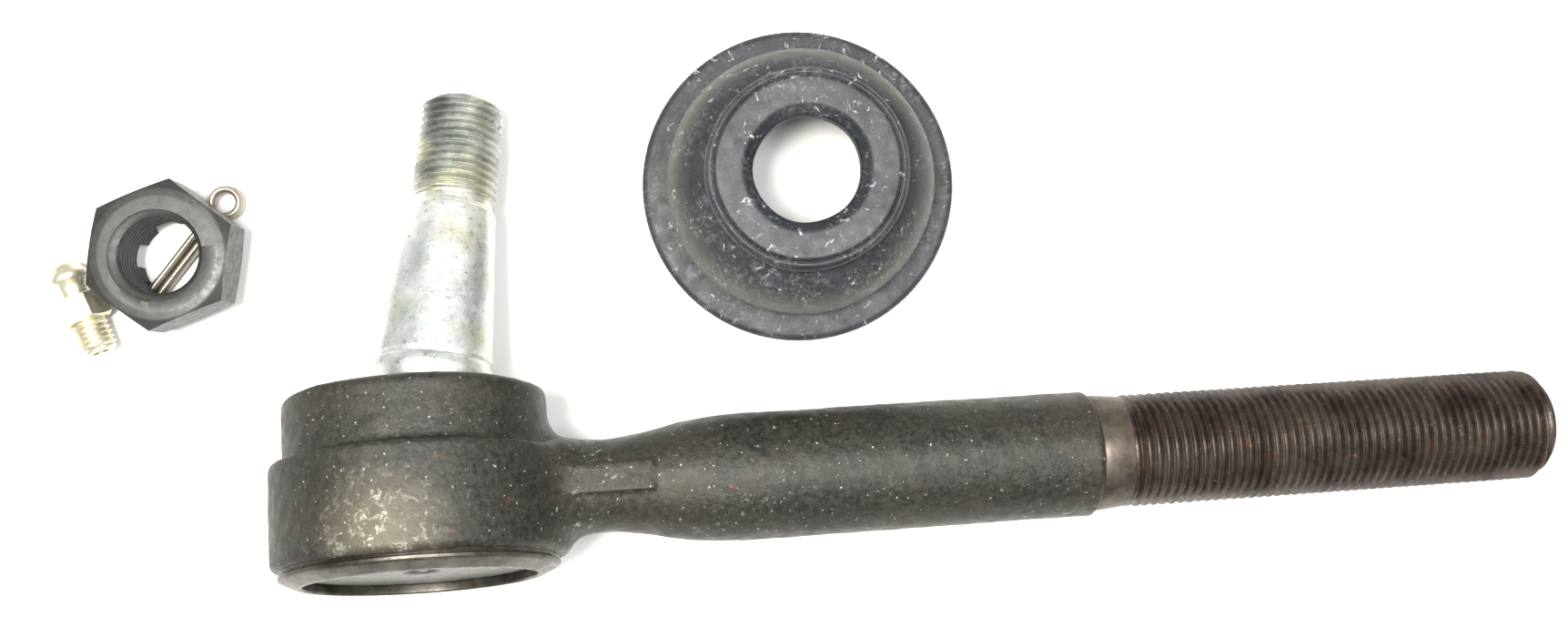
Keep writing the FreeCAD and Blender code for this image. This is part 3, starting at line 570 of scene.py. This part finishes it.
# -------------------------------------------------------------- loose pieces
def boot_profile():
    """Section of the rubber boot, outside from the flange up, then back inside."""
    return rounded([
        (19.8, 0.0), (26.9, 0.0, 0.6), (27.6, 0.5, 0.5), (27.6, 1.8, 0.5), (26.9, 2.4, 0.5),
        (22.6, 2.9, 0.5), (22.1, 3.9, 0.9), (22.9, 5.2, 0.8), (23.3, 6.9, 1.8),
        (23.2, 9.5, 3.0),
        (21.9, 12.9, 3.0), (19.3, 15.5, 2.2), (16.4, 17.3, 1.6), (15.3, 18.7, 1.0),
        (15.5, 20.3, 0.9), (16.6, 21.2, 0.7), (16.95, 22.0, 0.6), (16.95, 24.5, 0.7),
        (16.4, 25.3, 0.5), (15.9, 25.45, 0.2), (15.65, 25.15, 0.15), (15.45, 25.5, 0.25),
        (15.1, 26.0, 0.35), (10.7, 26.0, 0.5), (9.9, 25.2, 0.5), (8.95, 24.3, 0.5),
        (8.9, 21.1, 0.5), (10.2, 20.4, 0.8), (12.1, 16.6, 1.5), (17.3, 13.9, 2.0),
        (21.0, 9.5, 3.0), (19.8, 3.4, 2.0), (19.8, 0.0),
    ], steps=5)


def make_boot():
    lift = mount("boot_stud_bore")["pos_m"]
    place = Matrix.Translation((lift[0], lift[1], FLOOR)) @ Matrix.Scale(MM, 4)
    profile = densify(boot_profile(), 0.8)

    def wobble(angle, height):
        sag = 0.12 * np.sin(2 * angle + 0.7) + 0.06 * np.sin(5 * angle + height * 0.2)
        return sag * np.clip(height / 6.0, 0, 1)

    verts, faces = lathe(profile, 192, wobble)
    return piece("dust_boot_skin", verts, faces, place, sharp_deg=60)


def nut_matrix():
    """Frame of the nut: it stands on its tower, its bearing face up."""
    turn = math.radians(NUT["turn"])
    top = Vector(mount("nut_bore")["pos_m"]) + Vector((0, 0, 0.4 * NUT["high"] * MM))
    return axes_matrix((math.cos(turn), math.sin(turn), 0), (0, 0, -1), top)


def prism(corners, low, high):
    """Vertices and faces of an upright prism over a polygon."""
    count = len(corners)
    verts = [(x, y, z) for z in (low, high) for x, y in corners]
    faces = [tuple(range(count - 1, -1, -1)), tuple(range(count, 2 * count))]
    faces += [(i, (i + 1) % count, count + (i + 1) % count, count + i) for i in range(count)]
    return verts, faces


def hexagon_corners(flats, turn=0.0):
    corner = flats / math.sqrt(3)
    angles = [math.radians(turn + 60 * i) for i in range(6)]
    return [(corner * math.cos(a), corner * math.sin(a)) for a in angles]


def slot_corners(width, reach):
    """Six-armed star whose arms are the slots across a castle nut's tower."""
    corners = []
    for i in range(6):
        a = math.radians(60 * i)
        for side in (-width / 2, width / 2):
            corners.append((reach * math.cos(a) - side * math.sin(a),
                            reach * math.sin(a) + side * math.cos(a)))
        between = a + math.radians(30)
        corners.append((width * math.cos(between), width * math.sin(between)))
    return corners


def make_nut():
    """Hexagon with turned corners, slotted tower and a threaded bore."""
    n = NUT
    corner = n["flats"] / math.sqrt(3) + 0.1
    raw = Matrix.Identity(4)
    verts, faces = lathe(rounded([
        (0.0, 0.0), (9.7, 0.0, 0.2), (n["flats"] / 2 - 0.1, 0.2, 0.25), (corner, 1.3, 0.2),
        (corner, n["body"] - 1.3, 0.2), (n["flats"] / 2 - 0.3, n["body"], 0.3),
        (n["tower"], n["body"] + 0.1, 0.2), (n["tower"], n["high"] - 0.6, 0.3),
        (n["tower"] - 0.6, n["high"], 0.2), (0.0, n["high"]),
    ]), 120)
    nut = piece("castle_nut_skin", verts, faces, raw)
    cutter = prism(hexagon_corners(n["flats"], 30.0), -1.0, n["high"] + 1)
    apply_boolean(nut, piece("hexagon_cutter", *cutter, raw), "INTERSECT")
    cutter = prism(slot_corners(n["slot"], n["tower"] + 0.4), n["body"] + 0.2, n["high"] + 1)
    apply_boolean(nut, piece("slot_cutter", *cutter, raw))
    verts, faces = threaded_rod(
        -0.5, n["high"] + 0.5, n["pitch"],
        lambda h: n["major"] + np.clip(0.9 - h, 0, 1) + np.clip(h - n["high"] + 0.7, 0, 1),
        lambda h: np.full_like(h, n["major"] - n["minor"]),
        [(-0.5, 0.0)], [(n["high"] + 0.5, 0.0)], segments=64)
    apply_boolean(nut, piece("bore_cutter", verts, faces, raw))
    nut.data.transform(nut_matrix())
    return nut


def sweep(path, section, up=(0, 0, 1)):
    """Closed tube of a section (across, up) along a path of points."""
    path = np.asarray(path, float)
    tangents = np.gradient(path, axis=0)
    tangents /= np.linalg.norm(tangents, axis=1, keepdims=True)
    side = np.cross(np.array(up, float), tangents)
    side /= np.linalg.norm(side, axis=1, keepdims=True)
    over = np.cross(tangents, side)
    section = np.asarray(section, float)
    verts = (path[:, None, :] + side[:, None, :] * section[None, :, :1]
             + over[:, None, :] * section[None, :, 1:]).reshape(-1, 3)
    count = len(section)
    faces = grid_faces(len(path), count)
    faces.append(tuple(range(count - 1, -1, -1)))
    faces.append(tuple((len(path) - 1) * count + k for k in range(count)))
    return verts, faces


def pin_leg(start, length, side):
    """Points of one leg, from the end of the eye's loop to its tip."""
    points = []
    for t in np.linspace(0, 1, 9)[1:]:
        points.append((start[0] + 2.2 * t, side * (start[1] * (1 - t) ** 1.6 + 0.78 * t), 0))
    for x in np.linspace(points[-1][0] + 0.6, length, 14):
        points.append((x, side * 0.78, 0))
    return points


def make_split_pin():
    """Half-round wire folded into an eye and two legs, one longer than the other."""
    d = PIN
    opening = math.radians(38)
    turns = np.linspace(opening, 2 * math.pi - opening, 33)
    eye = d["eye"] - d["wire"]
    loop = [(eye * math.cos(t), eye * math.sin(t), 0) for t in turns]
    path = pin_leg(loop[0], d["long"], 1)[::-1] + loop + pin_leg(loop[0], d["short"], -1)
    around = np.linspace(0, 2 * math.pi, 20)[:-1]
    section = [(0.72 * math.cos(a), 1.5 * math.sin(a)) for a in around]
    verts, faces = sweep(path, section)
    low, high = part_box("cotter_pin")
    centre = Vector((high.x - d["eye"] * MM, high.y - d["eye"] * MM, low.z + d["radius"] * MM))
    place = axes_matrix(-Vector(joint("pin_draw")["axis"]), (0, 0, 1), centre)
    return piece("split_pin_wire", verts, faces, place, sharp_deg=50)


def make_fitting():
    """Grease fitting: rolled thread, hexagon, waist and ball-shaped head."""
    d = FITTING
    head = mount("fitting_head")
    axis = Vector(head["axis"])
    tail = Vector(head["pos_m"]) - axis * d["long"] * MM
    place = axes_matrix((0, 0, 1), axis, tail)
    profile = rounded([
        (0.0, 5.0), (2.4, 5.0), (2.6, 5.3), (2.6, 5.75), (d["neck"], 5.8),
        (d["neck"], d["neck_end"], 0.4),
        (d["head"] - 0.4, d["head_start"], 0.3), (d["head"], d["head_start"] + 0.5, 0.4),
        (d["head"], d["head_end"] - 0.3, 0.7), (d["tip"] + 0.5, d["long"] - 0.5, 0.5),
        (d["tip"], d["long"], 0.2), (d["mouth"] + 0.25, d["long"], 0.1),
        (d["mouth"], d["long"] - 0.4, 0.1), (d["mouth"], d["long"] - 1.4), (0.0, d["long"] - 1.4),
    ])
    verts, faces = lathe(profile, 64)
    barrel = piece("fitting_barrel", verts, faces, place)
    corner = d["hex"] / math.sqrt(3)
    verts, faces = lathe(rounded([
        (0.0, d["thread_end"]), (3.5, d["thread_end"], 0.1), (corner, d["thread_end"] + 0.55, 0.1),
        (corner, d["hex_end"] - 0.55, 0.1), (3.6, d["hex_end"], 0.1), (0.0, d["hex_end"]),
    ]), 72)
    raw = Matrix.Identity(4)
    hexagon = piece("fitting_hexagon", verts, faces, raw)
    cutter = prism(hexagon_corners(d["hex"], 30.0), 0.0, d["long"])
    apply_boolean(hexagon, piece("small_hexagon_cutter", *cutter, raw), "INTERSECT")
    hexagon.data.transform(place)
    knots = np.array([(0.0, 2.5), (0.6, d["thread"]), (d["thread_end"] - 0.4, d["thread"]),
                      (d["thread_end"] + 0.2, 2.7)])

    def envelope(height):
        return np.interp(height, knots[:, 0], knots[:, 1])

    def depth_at(height):
        fade_in = np.clip(height / 0.8, 0, 1)
        fade_out = np.clip((d["thread_end"] - height) / 0.7, 0, 1)
        return 0.5 * d["pitch"] * fade_in * fade_out

    verts, faces = threaded_rod(0.0, d["thread_end"] + 0.2, d["pitch"], envelope, depth_at,
                                [(0.0, 1.5), (4.0, 1.5), (4.0, 0.0)],
                                [(d["thread_end"] + 0.2, 0.0)], segments=48, fine=8)
    thread = piece("fitting_thread_skin", verts, faces, place, sharp_deg=50)
    return barrel, hexagon, thread


# ================================================================= materials
class Nodes:
    """Small helper to build a material's node tree."""

    def __init__(self, name):
        self.material = bpy.data.materials.new(name)
        self.material.use_nodes = True
        self.tree = self.material.node_tree
        self.shader = self.tree.nodes["Principled BSDF"]
        coordinates = self.tree.nodes.new("ShaderNodeTexCoord")
        self.coordinates = coordinates.outputs["Object"]

    def link(self, source, target):
        self.tree.links.new(source, target)

    def mapped(self, scale, rotation=(0, 0, 0)):
        """Object coordinates scaled to millimetres times scale along each axis."""
        node = self.tree.nodes.new("ShaderNodeMapping")
        node.inputs["Scale"].default_value = [s / MM for s in scale]
        node.inputs["Rotation"].default_value = rotation
        self.link(self.coordinates, node.inputs["Vector"])
        return node.outputs["Vector"]

    def noise(self, size, detail=4.0, roughness=0.6, stretch=(1, 1, 1), distortion=0.0):
        """Noise whose largest features are about size millimetres."""
        node = self.tree.nodes.new("ShaderNodeTexNoise")
        node.inputs["Scale"].default_value = 1.0
        node.inputs["Detail"].default_value = detail
        node.inputs["Roughness"].default_value = roughness
        node.inputs["Distortion"].default_value = distortion
        self.link(self.mapped([s / size for s in stretch]), node.inputs["Vector"])
        return node.outputs["Fac"]

    def near(self, centre, full, none):
        """1 within full millimetres of a point of the row, 0 beyond none."""
        node = self.tree.nodes.new("ShaderNodeVectorMath")
        node.operation = "DISTANCE"
        self.link(self.coordinates, node.inputs[0])
        node.inputs[1].default_value = [c * MM for c in centre]
        return self.ramp(node.outputs["Value"], full * MM, none * MM, 1.0, 0.0)

    def height(self, low, high, start=0.0, end=1.0):
        """Ramp over the height above the table, in millimetres."""
        parts = self.tree.nodes.new("ShaderNodeSeparateXYZ")
        self.link(self.coordinates, parts.inputs[0])
        return self.ramp(parts.outputs["Z"], FLOOR + low * MM, FLOOR + high * MM, start, end)

    def ramp(self, source, low, high, start=0.0, end=1.0):
        """Map source from low..high to start..end, clamped."""
        node = self.tree.nodes.new("ShaderNodeMapRange")
        node.clamp = True
        node.inputs["From Min"].default_value = low
        node.inputs["From Max"].default_value = high
        node.inputs["To Min"].default_value = start
        node.inputs["To Max"].default_value = end
        self.link(source, node.inputs["Value"])
        return node.outputs["Result"]

    def math(self, operation, a, b):
        node = self.tree.nodes.new("ShaderNodeMath")
        node.operation = operation
        for socket, value in zip(node.inputs, (a, b)):
            if isinstance(value, (int, float)):
                socket.default_value = value
            else:
                self.link(value, socket)
        return node.outputs["Value"]

    def mix(self, factor, a, b):
        """Blend two colours or colour sockets by a factor socket."""
        node = self.tree.nodes.new("ShaderNodeMix")
        node.data_type = "RGBA"
        self.link(factor, node.inputs[0])
        for socket, value in ((node.inputs[6], a), (node.inputs[7], b)):
            if isinstance(value, tuple):
                socket.default_value = (*value, 1.0)
            else:
                self.link(value, socket)
        return node.outputs[2]

    def bump(self, height, distance_mm, strength=1.0, after=None):
        node = self.tree.nodes.new("ShaderNodeBump")
        node.inputs["Distance"].default_value = distance_mm * MM
        node.inputs["Strength"].default_value = strength
        self.link(height, node.inputs["Height"])
        if after is not None:
            self.link(after, node.inputs["Normal"])
        return node.outputs["Normal"]

    def finish(self, color, roughness, metallic, normal=None):
        self.link(color, self.shader.inputs["Base Color"])
        self.link(roughness, self.shader.inputs["Roughness"])
        if isinstance(metallic, (int, float)):
            self.shader.inputs["Metallic"].default_value = metallic
        else:
            self.link(metallic, self.shader.inputs["Metallic"])
        if normal is not None:
            self.link(normal, self.shader.inputs["Normal"])
        return self.material


def forging_material():
    """Dark oxide scale: brown-black, finely pitted, with pale scuffs, rust specks and a painted highlight patch on
    top of the head.
    """
    n = Nodes("forged_scale")
    tone = n.ramp(n.noise(13.0, 6.0, 0.62), 0.38, 0.64)
    grain = n.ramp(n.noise(1.0, 5.0, 0.72), 0.40, 0.66)
    base = n.mix(tone, (0.008, 0.0085, 0.009), (0.023, 0.020, 0.014))
    base = n.mix(n.math("MULTIPLY", grain, 0.6), base, (0.060, 0.055, 0.042))
    # Patch on top of the head: it marks a painted highlight where it lifts the base colour, and real chalk marks
    # where it widens the chalk.
    chalk_and_highlight_patch = n.near((-2.0, -4.0, 24.0), 2.0, 11.5)
    streaks = n.noise(1.8, 8.0, 0.80, distortion=0.6)
    patch = n.ramp(n.noise(17.0, 3.0, 0.5), 0.56, 0.68, 0.0, 0.6)
    # Painted highlight: inside the head-top patch the base colour is lifted towards warm olive.
    base = n.mix(n.math("MULTIPLY", chalk_and_highlight_patch, 0.7), base, (0.115, 0.106, 0.072))
    chalk = n.math("MAXIMUM", n.math("MULTIPLY", n.ramp(streaks, 0.58, 0.64), patch),
                   n.math("MULTIPLY", n.ramp(streaks, 0.53, 0.64), chalk_and_highlight_patch))
    base = n.mix(chalk, base, (0.42, 0.41, 0.35))
    specks = n.math("MULTIPLY", n.ramp(n.noise(0.7, 2.0, 0.5), 0.70, 0.74), 0.8)
    base = n.mix(specks, base, (0.42, 0.41, 0.36))
    rust = n.math("MULTIPLY", n.ramp(n.noise(1.9, 4.0, 0.6), 0.65, 0.73), 0.6)
    base = n.mix(rust, base, (0.13, 0.055, 0.025))
    roughness = n.ramp(n.noise(2.0, 5.0, 0.65), 0.3, 0.7, 0.34, 0.58)
    pits = n.bump(n.noise(0.55, 6.0, 0.75), 0.12, 1.0)
    dents = n.bump(n.noise(3.6, 3.0, 0.55), 0.22, 0.55, pits)
    return n.finish(base, roughness, 0.4, dents)


def machined_material(name, dark, light, axis_stretch, metallic=0.9, rough=(0.25, 0.5)):
    """Turned steel with fine tool lines and slight staining."""
    n = Nodes(name)
    lines = n.noise(0.5, 3.0, 0.6, axis_stretch)
    stain = n.ramp(n.noise(5.0, 5.0, 0.6), 0.35, 0.68)
    color = n.mix(stain, dark, light)
    roughness = n.ramp(n.noise(1.2, 4.0, 0.6), 0.3, 0.7, rough[0], rough[1])
    return n.finish(color, roughness, metallic, n.bump(lines, 0.02, 0.5))


def shank_thread_material():
    """Thread mottled from brown-black to brown, with rust touches and pale glints."""
    n = Nodes("thread_brown_black")
    tone = n.ramp(n.noise(6.0, 5.0, 0.6), 0.36, 0.66)
    base = n.mix(tone, (0.030, 0.022, 0.019), (0.085, 0.068, 0.056))
    rust = n.math("MULTIPLY", n.ramp(n.noise(2.6, 6.0, 0.7), 0.58, 0.70), 0.75)
    base = n.mix(rust, base, (0.12, 0.040, 0.020))
    glint = n.ramp(n.noise(1.1, 4.0, 0.7), 0.62, 0.72)
    base = n.mix(n.math("MULTIPLY", glint, 0.5), base, (0.30, 0.29, 0.27))
    roughness = n.ramp(n.noise(1.4, 4.0, 0.6), 0.3, 0.7, 0.24, 0.5)
    return n.finish(base, roughness, 0.7, n.bump(n.noise(0.4, 4.0, 0.7), 0.04, 0.6))


def zinc_material(name, dark, light, metallic, speckled):
    """Zinc plate: cool grey, cloudy, with fine dark specks and yellow in places."""
    n = Nodes(name)
    cloud = n.ramp(n.noise(7.0, 5.0, 0.6), 0.35, 0.66)
    color = n.mix(cloud, dark, light)
    yellow = n.math("MULTIPLY", n.ramp(n.noise(8.0, 3.0, 0.5), 0.50, 0.66), 0.55)
    color = n.mix(yellow, color, (0.62, 0.58, 0.40))
    speck = n.ramp(n.noise(1.0, 8.0, 0.82), 0.56, 0.63)
    color = n.mix(n.math("MULTIPLY", speck, speckled), color, (0.12, 0.12, 0.09))
    roughness = n.ramp(n.noise(1.5, 5.0, 0.7), 0.3, 0.7, 0.24, 0.46)
    return n.finish(color, roughness, metallic, n.bump(n.noise(0.7, 6.0, 0.75), 0.09, 0.8))


def rubber_material():
    """Black rubber with a dusty bloom, whitish smears and a painted highlight band round the bulge."""
    n = Nodes("dusty_rubber")
    base = n.mix(n.ramp(n.noise(9.0, 4.0, 0.6), 0.35, 0.65),
                 (0.008, 0.010, 0.014), (0.022, 0.025, 0.031))
    # Painted highlight: the bulge, from 4 to 15.5 mm above the table, is lightened towards olive grey.
    crest = n.math("MULTIPLY", n.height(4.0, 8.0), n.height(12.0, 15.5, 1.0, 0.0))
    base = n.mix(n.math("MULTIPLY", crest, 0.75), base, (0.082, 0.080, 0.068))
    dust = n.ramp(n.noise(1.1, 8.0, 0.8), 0.50, 0.66)
    bloom = n.ramp(n.noise(12.0, 4.0, 0.6), 0.42, 0.62)
    base = n.mix(n.math("MULTIPLY", n.math("MULTIPLY", dust, bloom), 0.6), base,
                 (0.20, 0.20, 0.18))
    smear = n.ramp(n.noise(2.4, 7.0, 0.74, distortion=1.2), 0.61, 0.66)
    base = n.mix(n.math("MULTIPLY", smear, 0.7), base, (0.46, 0.48, 0.46))
    roughness = n.ramp(n.noise(2.2, 5.0, 0.65), 0.3, 0.7, 0.42, 0.68)
    return n.finish(base, roughness, 0.0, n.bump(n.noise(0.5, 5.0, 0.7), 0.06, 0.9))


def plain_steel_material(name, color, metallic, rough):
    n = Nodes(name)
    cloud = n.ramp(n.noise(2.5, 5.0, 0.6), 0.3, 0.7)
    dark = tuple(c * 0.7 for c in color)
    base = n.mix(cloud, dark, color)
    roughness = n.ramp(n.noise(1.3, 4.0, 0.6), 0.3, 0.7, rough - 0.08, rough + 0.12)
    return n.finish(base, roughness, metallic, n.bump(n.noise(0.4, 4.0, 0.7), 0.02, 0.6))


def floor_material():
    n = Nodes("pale_table")
    tint = n.ramp(n.noise(160.0, 3.0, 0.5), 0.3, 0.7)
    base = n.mix(tint, (0.68, 0.665, 0.645), (0.72, 0.715, 0.71))
    roughness = n.ramp(n.noise(3.0, 3.0, 0.5), 0.3, 0.7, 0.5, 0.6)
    return n.finish(base, roughness, 0.0)


# ===================================================== camera, light and floor
def add_camera():
    camera = bpy.data.cameras.new("camera")
    camera.lens = LENS_MM
    camera.sensor_width = SENSOR_MM
    camera.sensor_fit = "HORIZONTAL"
    camera.clip_start = 0.01
    obj = bpy.data.objects.new("camera", camera)
    at = Vector(CAMERA_AT) * MM
    back = (at - Vector(CAMERA_AIM) * MM).normalized()
    right = Vector(CAMERA_UP).cross(back).normalized()
    up = back.cross(right)
    rotation = Matrix((right, up, back)).transposed().to_4x4()
    obj.matrix_world = Matrix.Translation(at) @ rotation
    bpy.context.scene.collection.objects.link(obj)
    bpy.context.scene.camera = obj


def area_light(name, at, aim, size, power, color):
    light = bpy.data.lights.new(name, "AREA")
    light.shape = "RECTANGLE"
    light.size, light.size_y = size
    light.energy = power
    light.color = color
    obj = bpy.data.objects.new(name, light)
    obj.location = at
    direction = Vector(aim) - Vector(at)
    obj.rotation_euler = direction.to_track_quat("-Z", "Y").to_euler()
    bpy.context.scene.collection.objects.link(obj)


def add_world():
    """White room light, strongest overhead and weaker towards the horizon."""
    world = bpy.data.worlds.new("studio")
    world.use_nodes = True
    nodes, links = world.node_tree.nodes, world.node_tree.links
    direction = nodes.new("ShaderNodeTexCoord")
    parts = nodes.new("ShaderNodeSeparateXYZ")
    height = nodes.new("ShaderNodeMapRange")
    height.inputs["From Min"].default_value = 0.05
    height.inputs["From Max"].default_value = 0.75
    height.inputs["To Min"].default_value = 0.10
    height.inputs["To Max"].default_value = 1.05
    links.new(direction.outputs["Generated"], parts.inputs[0])
    links.new(parts.outputs["Z"], height.inputs["Value"])
    links.new(height.outputs["Result"], nodes["Background"].inputs["Strength"])
    nodes["Background"].inputs["Color"].default_value = (1.0, 0.985, 0.96, 1)
    bpy.context.scene.world = world


def add_studio():
    bpy.context.scene.view_settings.view_transform = "Standard"
    add_world()
    area_light("overhead", (-0.06, 0.02, 0.48), (0.0, 0.0, 0.0), (0.10, 0.10), 4.4,
               (1.0, 0.98, 0.93))
    area_light("overhead_right", (0.26, 0.03, 0.60), (0.14, 0.0, 0.0), (0.20, 0.20), 3.0,
               (0.98, 0.99, 1.0))
    side = FLOOR_SIDE / 2
    slab = prism([(-side, -side), (side, -side), (side, side), (-side, side)], -10.0, 0.0)
    floor = piece("floor", *slab, Matrix.Translation((0, 0, FLOOR)) @ Matrix.Scale(MM, 4))
    floor.data.materials.append(floor_material())


# ================================================================ put together
def dress(obj, body, slot, material, *nodes):
    """Ride, material and the CAD nodes that a piece stands for; slot is not used."""
    obj.data.materials.clear()
    obj.data.materials.append(material)
    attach(obj, body)
    if nodes:
        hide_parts(*nodes)


def paint_node(name, material):
    mesh = frame["nodes"][name].data
    mesh.materials.clear()
    mesh.materials.append(material)


def build():
    forging = forging_material()
    zinc = zinc_material("bright_zinc", (0.50, 0.54, 0.54), (0.82, 0.85, 0.83), 0.85, 0.75)
    dull_zinc = zinc_material("dull_zinc", (0.20, 0.22, 0.21), (0.58, 0.60, 0.56), 0.9, 0.9)
    dress(make_forging(), "rod", "forging", forging, "forged_housing")
    lip_steel = machined_material("turned_lip", (0.030, 0.026, 0.021), (0.12, 0.11, 0.092),
                                  (1, 1, 1), 0.8, (0.3, 0.5))
    dress(make_lip(), "rod", "forging", lip_steel)
    cover_steel = plain_steel_material("pressed_cover", (0.12, 0.118, 0.11), 0.6, 0.42)
    dress(make_cover(), "rod", "cover_steel", cover_steel, "cover_plate")
    turned = machined_material("turned_relief", (0.045, 0.036, 0.028), (0.14, 0.115, 0.092),
                               (1, 1, 1), 0.75, (0.35, 0.5))
    dress(make_relief(), "rod", "forging", turned)
    dress(make_shank_thread(), "rod", "forging", shank_thread_material())
    dress(make_stud(), "stud", "zinc_steel", zinc, "ball_stud")
    dress(make_stud_thread(), "stud", "zinc_steel", dull_zinc)
    dress(make_boot(), "boot", "rubber", rubber_material(), "dust_boot")
    black = plain_steel_material("black_oxide", (0.050, 0.050, 0.048), 0.55, 0.42)
    dress(make_nut(), "nut", "black_oxide", black, "castle_nut")
    wire = plain_steel_material("zinc_wire", (0.42, 0.38, 0.31), 0.85, 0.38)
    dress(make_split_pin(), "split_pin", "zinc_wire", wire, "cotter_pin")
    yellow = plain_steel_material("yellow_zinc", (0.90, 0.86, 0.66), 0.9, 0.34)
    for i, part in enumerate(make_fitting()):
        nodes = ("grease_fitting",) if i == 0 else ()
        dress(part, "fitting", "yellow_zinc", yellow, *nodes)
    bearing = plain_steel_material("ground_steel", (0.45, 0.45, 0.46), 0.95, 0.25)
    for name in ("half_ball_bearing", "lower_bearing"):
        paint_node(name, bearing)
    paint_node("seat_liner", plain_steel_material("bearing_plastic", (0.62, 0.58, 0.46), 0.0, 0.5))
    spring = plain_steel_material("spring_steel", (0.35, 0.35, 0.37), 0.95, 0.3)
    for name in ("preload_spring", "grease_check_ball", "grease_check_spring"):
        paint_node(name, spring)


build()
add_studio()
add_camera()
